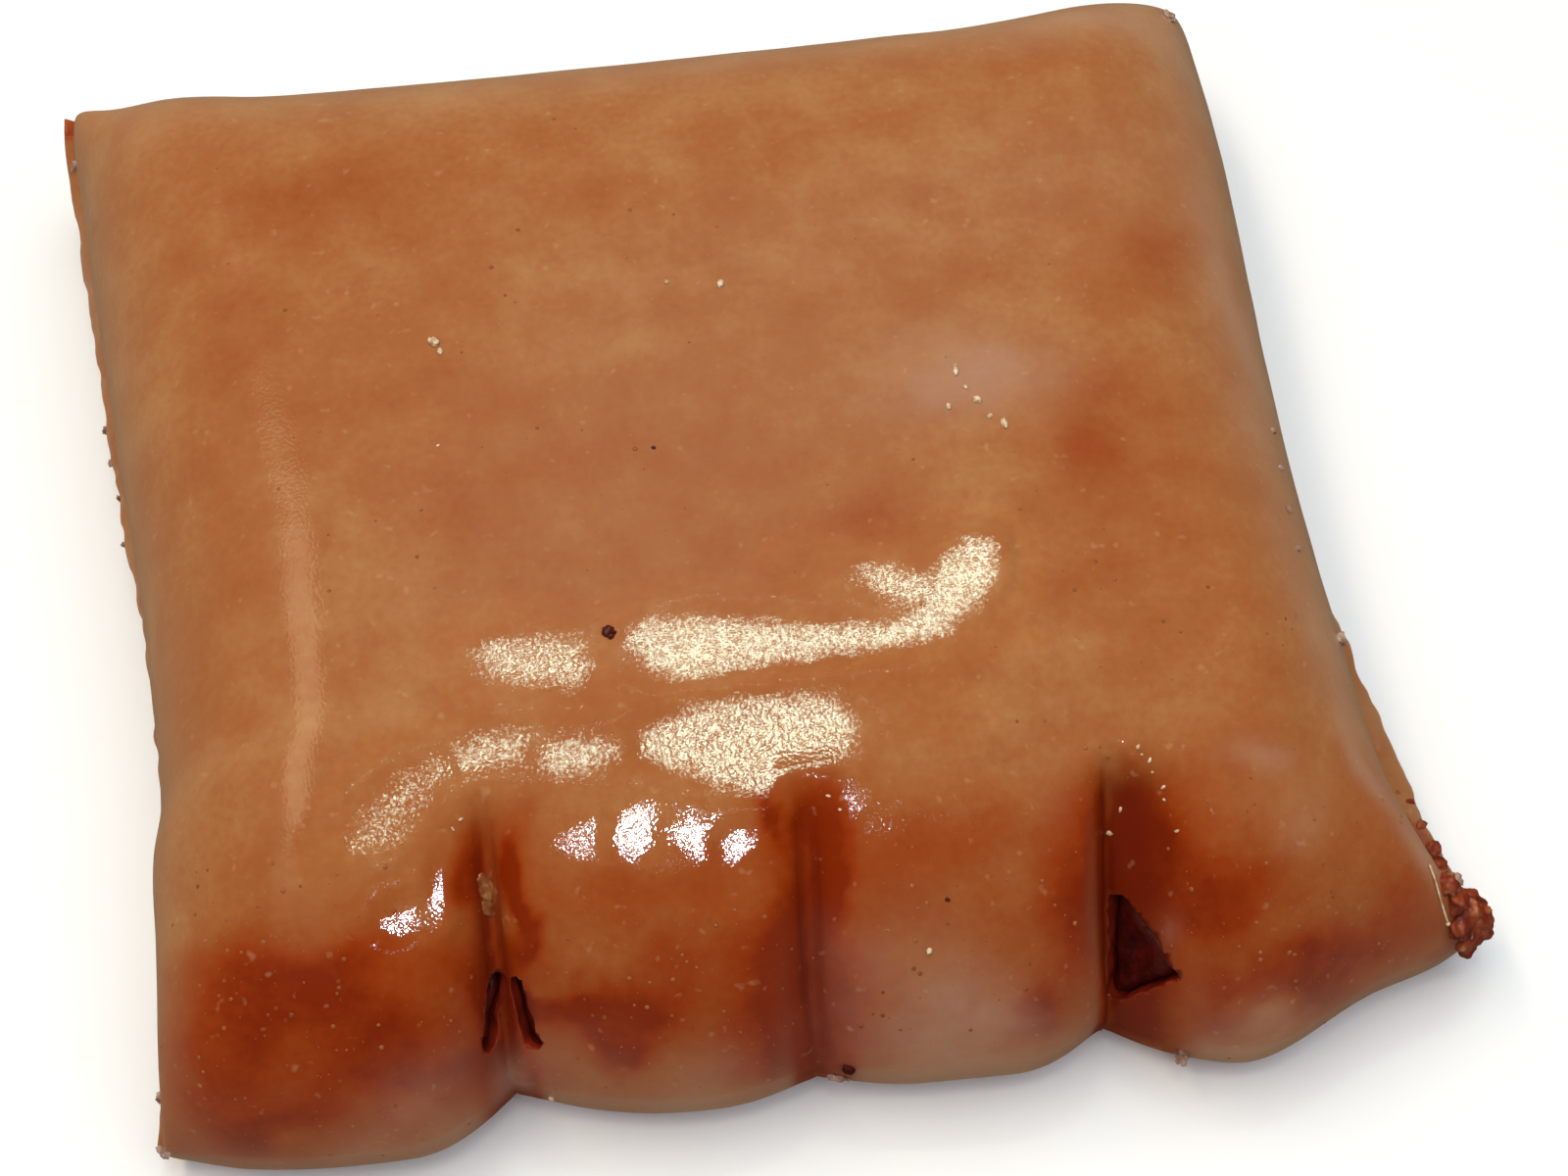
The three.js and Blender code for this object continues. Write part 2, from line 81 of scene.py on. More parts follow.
LEFT_SETBACK = [(0, 0.8), (20, 1), (60, 1.2), (100, 1.6)]
RIGHT_SETBACK = [(-1, 2.8), (4, 4), (10, 4.7), (24, 3.8), (45, 1.4), (70, 0.6), (100, 1)]
BACK_SETBACK = [(-57, 2), (-40, 0.8), (40, 0.8), (55, 2)]

TOP_HEIGHT = 29.6
DOME_RISE, DOME_Y, DOME_REACH = 1.2, 54, 34
LIP_HEIGHT, LIP_THICKNESS, LIP_ROUNDING = 5, 1.5, 0.2
FRONT_TIP_HEIGHT = 9
FRONT_TIP_LEFT, FRONT_TIP_RIGHT, FRONT_TIP_BACK = (-57, -50), (57, 46), (2, 16)
GROOVE_HEIGHT, GROOVE_STEP, GROOVE_DEPTH, GROOVE_FADE = 7.6, 1.4, 0.9, 9
SIDE_GROOVE_SPAN, BACK_GROOVE_SPAN = (1, 102), (-55, 54)
GIRTH_HEIGHT = 11
SIDE_REACH, SIDE_ROUNDNESS = 18.5, 2.3
FRONT_REACH, FRONT_ROUNDNESS = 28, 1.75
CORNER_FULLNESS = 1.3
# Pinched corners: x, y, lift, reach.
CORNERS = [(-56.4, 0.6, -1, 7), (57.6, -0.9, 2, 7), (-56.4, 104.7, 8, 9), (55.6, 99.2, 2, 8)]

# Cuts: shoulders are (width, flatness) and a notch is (depth, left, right).
CUTS = [
    dict(x=-26.4, slant=1.2, length=17, gap=0.7, depth=3.4,
         left=(4.5, 0.1), right=(3.6, 0.1), notch=(4.2, 9, 12)),
    dict(x=-1.2, slant=2.2, length=17, gap=0.8, depth=2.8,
         left=(3, 0.1), right=(4, 0.1), notch=(2, 9, 9)),
    dict(x=23.8, slant=1.4, length=14.5, gap=0.5, depth=7,
         left=(2.6, 0), right=(7.5, 0.7), notch=(4.2, 9, 12)),
]
# Share of a cut's depth by share of its length, from the front edge.
CUT_PROFILE = [(0, 0.6), (0.2, 1), (0.4, 0.92), (0.6, 0.78), (0.8, 0.5), (0.92, 0.18), (1, 0)]
NOTCH_FADE = 15
# Share of a cut's depth by which its floor is hollow.
FLOOR_HOLLOW = 0.3
# Mouths in the cuts' walls where the filling shows: corners on the skin, radius, the
# direction that they run inward and how far.
MOUTHS = [
    ([(-26.3, 4.9, 17.4), (-27.7, 1.4, 14.6)], 1.1, (-0.6, 0.45, -0.65), 7),
    ([(-24.2, 4.2, 18.4), (-24.0, 0.9, 14.4)], 1.0, (0.6, 0.45, -0.65), 7),
    ([(25, 3, 16.8), (24.4, -1.8, 9.2), (27.9, -3.1, 15)], 0.9, (0.66, 0.62, -0.43), 6),
]
# Ragged crumbs on the pinched edge: place and radius.
CRAGS = [
    ((56.2, -0.6, 6.6), 1.5), ((54.9, 1.6, 7.2), 1.3), ((57.4, 0.6, 5.6), 1.1), ((56.3, 2.2, 5.9), 0.9),
    ((55.6, -2, 5.4), 0.8), ((54.2, 4.2, 6.2), 1), ((54.9, 6.4, 5.8), 0.7), ((55.6, 95.6, 5.4), 1),
    ((54.9, 84.5, 5.6), 0.8), ((54.9, 79.5, 5.8), 0.9),
]
CAVITY_CLEARANCE = 0.4

# Under side, ring by ring: inset at the front, inset at the sides, share of the height.
UNDER_RINGS = [(0.5, 0.7, 0.5), (2, 1.8, 0.16), (5, 3.5, 0)]

# Spacing of the net's lines.
NET_STEP = 0.45
LIP_STEPS = 4
WALL_STEPS = 28
FRONT_STEPS = 64
GAP_STEPS = 2
SHOULDER_STEPS = 15
SHOULDER_SPACING = 1.6
CROSSING_PASSES = 6
# How far apart the seeds' noises lie.
SEED_STEP = 17.31


# ---- small tools
def mix(a, b, t):
    return a + (b - a) * t


def ease(low, high, value):
    """0 at the low end, 1 at the high end, smooth between them and level beyond."""
    t = np.clip((value - low) / (high - low), 0, 1)
    return t * t * (3 - 2 * t)


def curve(points, at):
    """Smooth curve through (at, value) points, straight beyond its ends."""
    places, values = np.array(points, float).T
    last = len(places) - 1
    k = np.clip(np.searchsorted(places, at) - 1, 0, last - 1)
    before, after = np.maximum(k - 1, 0), np.minimum(k + 2, last)
    step = places[k + 1] - places[k]
    t = (at - places[k]) / step
    inside = np.clip(t, 0, 1)
    start_slope = (values[k + 1] - values[before]) / (places[k + 1] - places[before])
    end_slope = (values[after] - values[k]) / (places[after] - places[k])
    bend = start_slope * inside * (1 - inside) ** 2 - end_slope * inside**2 * (1 - inside)
    beyond = (values[k + 1] - values[k]) * (t - inside)
    return mix(values[k], values[k + 1], ease(0, 1, inside)) + step * bend + beyond


def lumps(points, size, seed):
    """Smooth noise from about -1 to 1 at each point, with lumps of that size."""
    scaled = points / size + seed * SEED_STEP
    return np.array([noise.noise(place) for place in scaled.tolist()])


def ragged_points(points, *layers):
    """Points shifted by noise, so that spots and edges measured from them are ragged."""
    for amount, size, seed in layers:
        shifts = [lumps(points, size, seed + axis) for axis in range(3)]
        points = points + amount * np.stack(shifts, axis=-1)
    return points


# ---- cuts and edges
def cut_share(cut, across):
    """1 at the middle of a cut, 0 where the toe's shoulder ends."""
    width = np.where(across < 0, cut["left"][0], cut["right"][0])
    flatness = np.where(across < 0, cut["left"][1], cut["right"][1])
    t = np.clip((np.abs(across) - cut["gap"]) / width, 0, 1)
    round_share = 1 - np.sqrt(1 + (FLOOR_HOLLOW**2 - 1) * (1 - t) ** 2)
    floor = (1 - flatness) * FLOOR_HOLLOW * np.maximum(1 - (across / cut["gap"]) ** 2, 0)
    return mix(round_share, 1 - ease(0, 1, t), flatness) + floor


def cut_middle(cut, y):
    return cut["x"] + cut["slant"] * np.clip(y / cut["length"], 0, 1)


def cut_along(cut, y):
    """Share of a cut's length, from the front edge."""
    return (y - front_edge(cut["x"])) / cut["length"]


def cut_places(points):
    """Each cut, and the points' distances from its middle and shares of its length."""
    x, y, _z = (points + MIDDLE).T
    for cut in CUTS:
        yield cut, x - cut_middle(cut, y), cut_along(cut, y)


def notch_depth(x):
    depths = []
    for cut in CUTS:
        depth, left, right = cut["notch"]
        t = np.clip(np.abs(x - cut["x"]) / np.where(x < cut["x"], left, right), 0, 1)
        depths.append(depth * (1 - t) ** 2)
    return np.max(depths, axis=0)


def front_edge(x):
    return curve(FRONT_EDGE, x) + notch_depth(x)


def edge_height(x, y):
    front = ease(*FRONT_TIP_LEFT, x) * ease(*FRONT_TIP_RIGHT, x)
    height = mix(LIP_HEIGHT, FRONT_TIP_HEIGHT, front * (1 - ease(*FRONT_TIP_BACK, y)))
    for corner_x, corner_y, lift, reach in CORNERS:
        height = height + lift * np.exp(-((x - corner_x) ** 2 + (y - corner_y) ** 2) / reach**2)
    return height


def upper_height(x, y, share):
    """Height of the upper surface there, and how deep the cuts sink it."""
    dome = np.exp(-((x / DOME_REACH) ** 4)) * np.exp(-(((y - DOME_Y) / DOME_REACH) ** 4))
    closed = mix(edge_height(x, y), TOP_HEIGHT + DOME_RISE * dome, share)
    depths = []
    for cut in CUTS:
        depth = cut["depth"] * curve(CUT_PROFILE, np.clip(cut_along(cut, y), 0, 1))
        depths.append(depth * cut_share(cut, x - cut_middle(cut, y)))
    sunk = np.max(depths, axis=0)
    return closed - sunk, sunk


# ---- the net of lines
def seam_stations():
    """Each line's inset, share of the setback, share of the groove and height share."""
    def share(height):
        return (height - LIP_HEIGHT) / (TOP_HEIGHT - LIP_HEIGHT)

    girth = share(GIRTH_HEIGHT)
    lip = share(LIP_HEIGHT + LIP_THICKNESS)
    coarse = np.array([
        (0, 0, 0, 0),
        (LIP_ROUNDING, 0, 0, lip / 2),
        (LIP_ROUNDING, 0.5, 0.4, lip),
        (LIP_ROUNDING, 0.75, 1, share(GROOVE_HEIGHT)),
        (LIP_ROUNDING, 0.85, 0.4, share(GROOVE_HEIGHT + GROOVE_STEP)),
        (LIP_ROUNDING, 1, 0, girth),
    ])
    last = len(coarse) - 1
    at = np.arange(last * LIP_STEPS) / LIP_STEPS
    lower = [curve(list(enumerate(column)), at) for column in coarse.T]
    angle = np.arange(WALL_STEPS + 1) / WALL_STEPS * pi / 2
    progress = 1 - np.cos(angle) ** (2 / SIDE_ROUNDNESS)
    wall = [
        LIP_ROUNDING + SIDE_REACH * progress,
        1 - progress**2,
        0 * angle,
        girth + (1 - girth) * np.sin(angle) ** (2 / SIDE_ROUNDNESS),
    ]
    return np.hstack([lower, wall]).T


def seam_line(station, edge, setback, span, inward):
    inset, setback_share, groove_share, height = station

    def place(along):
        depth = inset + setback_share * curve(setback, along)
        from_end = np.minimum(along - span[0], span[1] - along)
        groove = GROOVE_DEPTH * ease(0, GROOVE_FADE, from_end)
        return curve(edge, along) + inward * (depth + groove_share * groove)

    return place, height


def cut_line(cut, offset):
    width = cut["left"][0] if offset < 0 else cut["right"][0]
    size = abs(offset)
    reach = cut["gap"] * size if size <= 1 else cut["gap"] + width * (size - 1)

    def place(y):
        return cut_middle(cut, y) + copysign(reach, offset)

    return place, 1.0


def lines_between(before, after, distance):
    """Evenly spaced lines from one line to the next, without those two."""
    steps = max(2, ceil(distance / NET_STEP))

    def between(share):
        return lambda along: mix(before[0](along), after[0](along), share)

    return [(between(step / steps), 1.0) for step in range(1, steps)]


def lengthwise_lines():
    """Lines from front to back: each gives x for a y, and its height share."""
    stations = seam_stations()
    inner = [step / GAP_STEPS for step in range(1, GAP_STEPS + 1)]
    shoulder = [1 + (step / SHOULDER_STEPS) ** SHOULDER_SPACING
                for step in range(1, SHOULDER_STEPS + 1)]
    offsets = inner + shoulder
    offsets = [-offset for offset in reversed(offsets)] + [0] + offsets
    groups = [[seam_line(s, LEFT_EDGE, LEFT_SETBACK, SIDE_GROOVE_SPAN, 1) for s in stations]]
    groups += [[cut_line(cut, offset) for offset in offsets] for cut in CUTS]
    groups.append([seam_line(s, RIGHT_EDGE, RIGHT_SETBACK, SIDE_GROOVE_SPAN, -1)
                   for s in stations[::-1]])
    lines = groups[0]
    for group in groups[1:]:
        width = float(group[0][0](0.0) - lines[-1][0](0.0))
        lines = lines + lines_between(lines[-1], group[0], width) + group
    return lines


def crosswise_lines():
    """Lines from left to right: each gives y for an x, and its height share."""
    def front_line(angle):
        inset = FRONT_REACH * (1 - cos(angle) ** (2 / FRONT_ROUNDNESS))
        notch_share = 1 - ease(0, NOTCH_FADE, inset)

        def place(x):
            return curve(FRONT_EDGE, x) + inset + notch_share * notch_depth(x)

        return place, sin(angle) ** (2 / FRONT_ROUNDNESS)

    front = [front_line(step / FRONT_STEPS * pi / 2) for step in range(FRONT_STEPS + 1)]
    back = [seam_line(s, BACK_EDGE, BACK_SETBACK, BACK_GROOVE_SPAN, -1) for s in seam_stations()[::-1]]
    depth = float(back[0][0](0.0) - front[-1][0](0.0))
    return front + lines_between(front[-1], back[0], depth) + back


def net_surface():
    """Grid of points of the upper surface, and the depth of the cuts there."""
    lengthwise, crosswise = lengthwise_lines(), crosswise_lines()
    y = np.zeros((len(crosswise), len(lengthwise)))
    x = np.zeros_like(y)
    for _ in range(CROSSING_PASSES):
        for column, (place, _height) in enumerate(lengthwise):
            x[:, column] = place(y[:, column])
        for row, (place, _height) in enumerate(crosswise):
            y[row] = place(x[row])
    along = np.array([height for _place, height in lengthwise])[None, :]
    across = np.array([height for _place, height in crosswise])[:, None]
    share = along * across * (1 + CORNER_FULLNESS * (1 - along) * (1 - across))
    height, sunk = upper_height(x, y, share)
    return np.stack([x, y, height], axis=-1), sunk


def under_ring(rim, ring):
    """The rim moved inward from the edges that it lies on, and down."""
    front_inset, side_inset, level = ring

    def pull(distance, inset):
        return distance + inset * (1 - ease(0, 3 * inset + 1, distance))

    x, y, z = rim.T
    left, right = curve(LEFT_EDGE, y), curve(RIGHT_EDGE, y)
    new_x = np.where(x < 0, left + pull(x - left, side_inset), right - pull(right - x, side_inset))
    back = curve(BACK_EDGE, x) - y
    new_y = np.where(
        y < MIDDLE[1],
        front_edge(new_x) + pull(y - front_edge(x), front_inset),
        curve(BACK_EDGE, new_x) - pull(back, side_inset),
    )
    return np.stack([new_x, new_y, z * level], axis=-1)


def closed_skin():
    """Points, faces and cut depth of the whole pastry, under side included."""
    surface, sunk = net_surface()
    rows, columns = sunk.shape
    at = np.arange(rows * columns).reshape(rows, columns)
    faces = np.stack([at[:-1, :-1], at[:-1, 1:], at[1:, 1:], at[1:, :-1]], axis=-1)
    faces = faces.reshape(-1, 4).tolist()
    points = [surface.reshape(-1, 3)]
    # The grid's rim in order, anticlockwise seen from above.
    rim = np.concatenate([at[0, :-1], at[:-1, -1], at[-1, :0:-1], at[:0:-1, 0]])
    rim_points = points[0][rim]
    above, start = rim, at.size
    for ring in UNDER_RINGS:
        points.append(under_ring(rim_points, ring))
        below = start + np.arange(len(rim))
        start += len(rim)
        quads = [np.roll(above, -1), above, below, np.roll(below, -1)]
        faces += np.stack(quads, axis=-1).tolist()
        above = below
    faces.append(above[::-1].tolist())
    points = np.vstack(points) - MIDDLE
    depth = np.concatenate([sunk.ravel(), np.zeros(len(points) - sunk.size)])
    return points, faces, depth


# ---- places in the picture
def pixel_ray(pixel):
    focal = LENS / SENSOR * IMAGE_SIZE[0]
    across = (pixel[0] - IMAGE_SIZE[0] / 2) / focal
    down = (pixel[1] - IMAGE_SIZE[1] / 2) / focal
    direction = FORWARD + across * RIGHTWARD - down * UPWARD
    return direction / np.linalg.norm(direction)


class Surface:
    """Finds the places of the picture's pixels on the pastry."""

    def __init__(self, points, faces):
        self.tree = BVHTree.FromPolygons(points.tolist(), faces)

    def at(self, pixel):
        """Point and normal under a pixel, or nearest to it beside the pastry."""
        ray = Vector(pixel_ray(pixel))
        place, normal = self.tree.ray_cast(Vector(CAMERA_PLACE), ray)[:2]
        if place is None:
            beside = Vector(CAMERA_PLACE) + ray * ((CAMERA_PLACE[2] - LIP_HEIGHT) / -ray.z)
            place, normal = self.tree.find_nearest(beside)[:2]
        return np.array(place), np.array(normal)

    def path(self, pixels):
        return np.array([self.at(pixel)[0] for pixel in pixels])


def distance_to_path(points, path):
    """Distance from each point to a line of points, and the share of its length there."""
    lengths = np.linalg.norm(np.diff(path, axis=0), axis=1)
    starts = np.concatenate([[0], np.cumsum(lengths)])
    best = np.full(len(points), np.inf)
    share = np.zeros(len(points))
    for k, length in enumerate(lengths):
        step = path[k + 1] - path[k]
        t = np.clip((points - path[k]) @ step / length**2, 0, 1)
        distance = np.linalg.norm(points - path[k] - t[:, None] * step, axis=1)
        nearer = distance < best
        best[nearer] = distance[nearer]
        share[nearer] = ((starts[k] + t * length) / starts[-1])[nearer]
    return best, share


def spot_share(points, surface, x, y, along_radius, across_radius, turn=0):
    """1 at a pixel's place on the surface, fading over an ellipse."""
    to_x, to_y = cos(radians(turn)), sin(radians(turn))
    offset = points - surface.at((x, y))[0]
    along = offset[:, 0] * to_x + offset[:, 1] * to_y
    across = offset[:, 1] * to_x - offset[:, 0] * to_y
    high = offset[:, 2] / (2 * along_radius)
    return np.exp(-((along / along_radius) ** 2) - (across / across_radius) ** 2 - high**2)


# ---- lamps
# Each lamp: place of its middle, size along x and y, radiance and sRGB colour.
WARM, COOL, AMBER = (232, 255, 228), (236, 243, 255), (255, 226, 178)
LAMPS = {
    "upper": ((60, 310, 1000), (200, 44), 24.0, WARM),
    "lower": ((-22, -150, 1000), (150, 46), 25.0, WARM),
    "left": ((-410, 195, 1000), (260, 950), 1.6, AMBER),
    "left_core": ((-400, 195, 1000), (130, 950), 5.8, AMBER),
    "cool": ((-22, -505, 1000), (30, 30), 230.0, COOL),
}


# ---- relief
# Places in the lamps that patches of the glaze mirror to the camera.
MIRRORED = {
    "upper": (84, 310, 1000), "upper_left": (-12, 314, 1000),
    "lower": (24, -150, 1000), "lower_left": (-45, -150, 1000), "lower_end": (-76, -152, 1000),
    "cool": (-22, -505, 1000),
}
# Patches: the pixels round them, the place that they mirror and their share of the gloss.
PATCHES = [
    ([(632, 648), (664, 637), (710, 632), (770, 634), (840, 639), (905, 637), (930, 623),
      (944, 613), (912, 611), (878, 590), (880, 581), (905, 578), (930, 588), (954, 590),
      (964, 572), (986, 552), (1012, 556), (1016, 588), (994, 618), (966, 641), (944, 653),
      (880, 661), (800, 673), (745, 684), (694, 694), (664, 680), (646, 662)], "upper", 1.0),
    ([(484, 668), (508, 652), (560, 651), (598, 656), (600, 684), (584, 702), (568, 694), (530, 695),
      (500, 688)], "upper_left", 0.85),
    ([(632, 763), (664, 744), (712, 722), (780, 709), (850, 714), (872, 738), (868, 766),
      (838, 788), (800, 812), (766, 808), (730, 798), (684, 780)], "lower", 1.0),
    ([(546, 780), (556, 762), (600, 753), (625, 767), (606, 785), (570, 790)], "lower_left", 0.8),
    ([(434, 804), (444, 774), (500, 748), (544, 746), (526, 778), (476, 798)], "lower_left", 0.6),
    ([(352, 866), (376, 824), (408, 792), (440, 780), (452, 802), (422, 832), (404, 858),
      (376, 872)], "lower_end", 0.4),
    ([(564, 862), (584, 850), (606, 842), (624, 846), (618, 868), (584, 874)], "cool", 0.5),
    ([(628, 852), (638, 830), (656, 822), (674, 836), (670, 860), (652, 872), (632, 870)], "cool", 1.0),
    ([(682, 848), (704, 836), (728, 842), (741, 858), (722, 872), (700, 868)], "cool", 1.0),
    ([(738, 864), (752, 849), (768, 858), (750, 878)], "cool", 0.9),
    ([(386, 946), (406, 930), (430, 922), (450, 904), (464, 910), (456, 936), (434, 948),
      (406, 954)], "cool", 0.8),
    ([(441, 926), (444, 900), (453, 880), (468, 870), (468, 898), (460, 926)], "cool", 0.8),
    ([(848, 814), (860, 806), (876, 822), (866, 832)], "cool", 0.4),
]
# Depth inside a patch's outline, negative outside it, where its form and its gloss set in.
WARM_EDGES = (-2.2, -0.8), (-1.2, 1.4)
COOL_EDGES = (-1.4, -0.5), (-1.3, 0.8)
PATCH_RAGGEDNESS = 0.35
PATCH_REACH = 5.0
# Where the glaze has no gloss.  Spots are x and y pixel, radii along and across in mm,
# and turn in degrees where it isn't 0.
BARE_SPOTS = [
    (392, 888, 2.6, 4.2), (935, 838, 8, 3.4), (1000, 660, 6, 1.4), (1237, 822, 1.6, 4), (1207, 764, 2, 2),
    (955, 730, 5, 3), (816, 573, 4, 3), (560, 712, 9, 1.2), (790, 700, 9, 1.0),
]
FLAT = np.array([1.0, 1.0, 0.0])
# Folds: pixels of the line, width and height (a furrow's is negative) in mm.
FOLDS = [
    ([(1140, 760), (1172, 785), (1200, 840), (1216, 885)], 0.7, 0.25),
    ([(400, 475), (440, 462), (468, 448)], 0.35, -0.12),
]
# Dents: pixel, radius and depth in mm.
DENTS = [
    ((621, 645), 0.55, 0.5), ((667, 457), 0.3, 0.15), ((967, 918), 0.3, 0.2),
]
FOLD_END = 0.25
# Lumps of the skin: height and size in mm, and the seed of their noise.
WAVES = [(0.12, 13, 1), (0.05, 5, 2)]
FINE_WAVES = [(0.008, 3.4, 9), (0.002, 1.5, 3)]
SEAM_WAVES = [(0.28, 1.7, 47), (0.3, 4.2, 48)]
# Where the seam's lumps fade out: distance from the edge, height, distance from the front.
SEAM_WIDTH, SEAM_TOP, SEAM_FRONT = (0.8, 4), (8, 13), 6
# A rise of 1 mm is taken to shorten the way from lamp to camera by no less than this.
LEAST_CHANGE = -0.3


def wave_height(points, waves):
    return sum(height * lumps(points, size, seed) for height, size, seed in waves)


def outline_depth(points, outline):
    """Distance inward from an outline seen from above, negative outside it."""
    signed = np.full(len(points), -PATCH_REACH)
    low, high = outline.min(axis=0)[:2] - PATCH_REACH, outline.max(axis=0)[:2] + PATCH_REACH
    near = np.flatnonzero(np.all((points[:, :2] > low) & (points[:, :2] < high), axis=1))
    x, y = points[near, 0], points[near, 1]
    inside = np.zeros(len(near), bool)
    for (ax, ay, _az), (bx, by, _bz) in zip(outline, np.roll(outline, -1, axis=0)):
        crossing = (ay > y) != (by > y)
        inside ^= crossing & (x < ax + (y - ay) * (bx - ax) / (by - ay if by != ay else 1.0))
    closed = np.vstack([outline, outline[:1]])
    distance, _share = distance_to_path(points[near] * FLAT, closed * FLAT)
    signed[near] = np.where(inside, distance, -distance)
    return signed


def mirror_rise(skin, normals, share, place):
    """Rise that lets a patch of the skin mirror a place to the camera all over."""
    whole, change = 0, 0
    for end in (CAMERA_PLACE, np.array(place)):
        distance = np.linalg.norm(skin - end, axis=1)
        whole = whole + distance
        change = change + (skin - end) / distance[:, None]
    change = np.sum(normals * change, axis=1)
    level = np.average(whole, weights=share * (1 - share))
    return (level - whole) / np.minimum(change, LEAST_CHANGE)


def seam_distance(x, y):
    """Distance from the nearest pinched edge."""
    beside = np.minimum(x - curve(LEFT_EDGE, y), curve(RIGHT_EDGE, y) - x)
    return np.minimum(beside, curve(BACK_EDGE, x) - y)


def seam_share(points):
    """1 at the pinched edge, 0 further in than the seam."""
    x, y, z = (points + MIDDLE).T
    edge = 1 - ease(*SEAM_WIDTH, seam_distance(x, y))
    return edge * (1 - ease(*SEAM_TOP, z)) * ease(0, SEAM_FRONT, y)


def relief(points, normals, surface):
    """How far each point of the skin stands out, its sleekness and its lack of gloss."""
    height = wave_height(points, WAVES)
    ragged = ragged_points(points, (PATCH_RAGGEDNESS, 1.6, 11), (PATCH_RAGGEDNESS, 0.8, 14))
    cut = inside_cuts(points)
    sleek, smooth, glossy, around = np.zeros((4, len(points)))
    for outline, target, strength in PATCHES:
        depth = outline_depth(ragged, surface.path(outline))
        form_edge, gloss_edge = COOL_EDGES if target == "cool" else WARM_EDGES
        share = ease(*form_edge, depth) * (1 - cut)
        skin = points + height[:, None] * normals
        height = height + share * mirror_rise(skin, normals, share, MIRRORED[target])
        smooth = np.maximum(smooth, share)
        glossy = np.maximum(glossy, strength * ease(*gloss_edge, depth))
        around = np.maximum(around, ease(-PATCH_REACH, 0.7 * -PATCH_REACH, depth))
        if target == "cool":
            sleek = np.maximum(sleek, share * strength**2)
    for spot in BARE_SPOTS:
        around = np.maximum(around, ease(0.1, 0.5, spot_share(points, surface, *spot)))
    height += (1 - smooth) * wave_height(points, FINE_WAVES)
    height += seam_share(points) * wave_height(points, SEAM_WAVES)
    for pixels, width, rise in FOLDS:
        distance, share = distance_to_path(points, surface.path(pixels))
        fade = ease(0, FOLD_END, np.minimum(share, 1 - share))
        height += rise * fade * np.exp(-((distance / width) ** 2))
    for pixel, radius, depth in DENTS:
        distance = np.linalg.norm(points - surface.at(pixel)[0], axis=1)
        height -= depth * np.exp(-((distance / radius) ** 2))
    return height, sleek, around * (1 - glossy)


# ---- browning, painted shade, haze and painted sheen
# Spots of the crust: darkness in percent and spot.
BROWN_SPOTS = [
    (16, 1120, 430, 7, 4, 80), (12, 1185, 265, 8, 4, 45), (8, 590, 205, 6, 3), (8, 970, 300, 7, 4),
    (10, 890, 525, 6, 2.5), (9, 430, 400, 8, 4), (12, 320, 200, 12, 5), (8, 230, 330, 5, 9),
    (8, 770, 190, 5, 3, 20), (30, 250, 1030, 9, 3.5), (32, 420, 1075, 7, 3, -10), (20, 370, 1000, 8, 3, 5),
    (28, 230, 1130, 8, 3.5), (20, 330, 1130, 8, 2, 5), (16, 230, 980, 6, 3), (30, 560, 1035, 5, 1.6),
    (42, 630, 1030, 5, 2.2), (30, 650, 1055, 4, 1.6), (20, 720, 985, 6, 2.5), (22, 760, 1060, 6, 3, -20),
    (12, 700, 900, 8, 3), (40, 1052, 1040, 2.2, 2.8), (12, 950, 870, 9, 4), (14, 1090, 960, 3, 5),
    (24, 1200, 880, 5, 4, -40), (-12, 1325, 820, 5, 6, 40), (24, 1255, 925, 5, 2.4, 20),
    (20, 1180, 830, 3, 4, -30), (-15, 1136, 800, 1.2, 5), (-25, 503, 925, 1.2, 6, -8),
    (50, 496, 1035, 1.2, 4, 8), (50, 536, 1030, 1.0, 3.4, -6), (24, 1300, 1000, 8, 2.2, 10),
    (-25, 1275, 1062, 6, 2.4), (24, 1380, 985, 7, 1.7, 12), (16, 1250, 1040, 5, 2), (20, 1440, 930, 4, 3),
    (6, 190, 620, 5, 12), (5, 1330, 640, 6, 12, -20), (45, 850, 890, 1.4, 5), (40, 803, 830, 0.9, 3),
    (45, 515, 880, 1.2, 5, -8), (30, 475, 900, 1.0, 6), (50, 810, 1065, 3.2, 2.2, 50),
    (60, 866, 1090, 0.8, 1), (35, 535, 950, 1.2, 4), (50, 1140, 880, 1.2, 4), (50, 74, 128, 2, 2),
    (30, 852, 850, 1.8, 6), (20, 800, 1000, 3, 8), (45, 822, 1075, 1.2, 3, 20), (20, 870, 1000, 3, 7),
    (8, 600, 500, 22, 12), (9, 1180, 560, 10, 14), (6, 1250, 870, 12, 8), (16, 1095, 900, 3, 8),
    (50, 1450, 850, 1.6, 3, 60), (50, 1485, 960, 2.4, 2.4), (5, 1320, 1000, 14, 4, 10),
    (8, 300, 1060, 12, 6), (50, 100, 225, 0.6, 1), (25, 1122, 900, 1, 5), (50, 548, 1108, 1, 0.7),
]
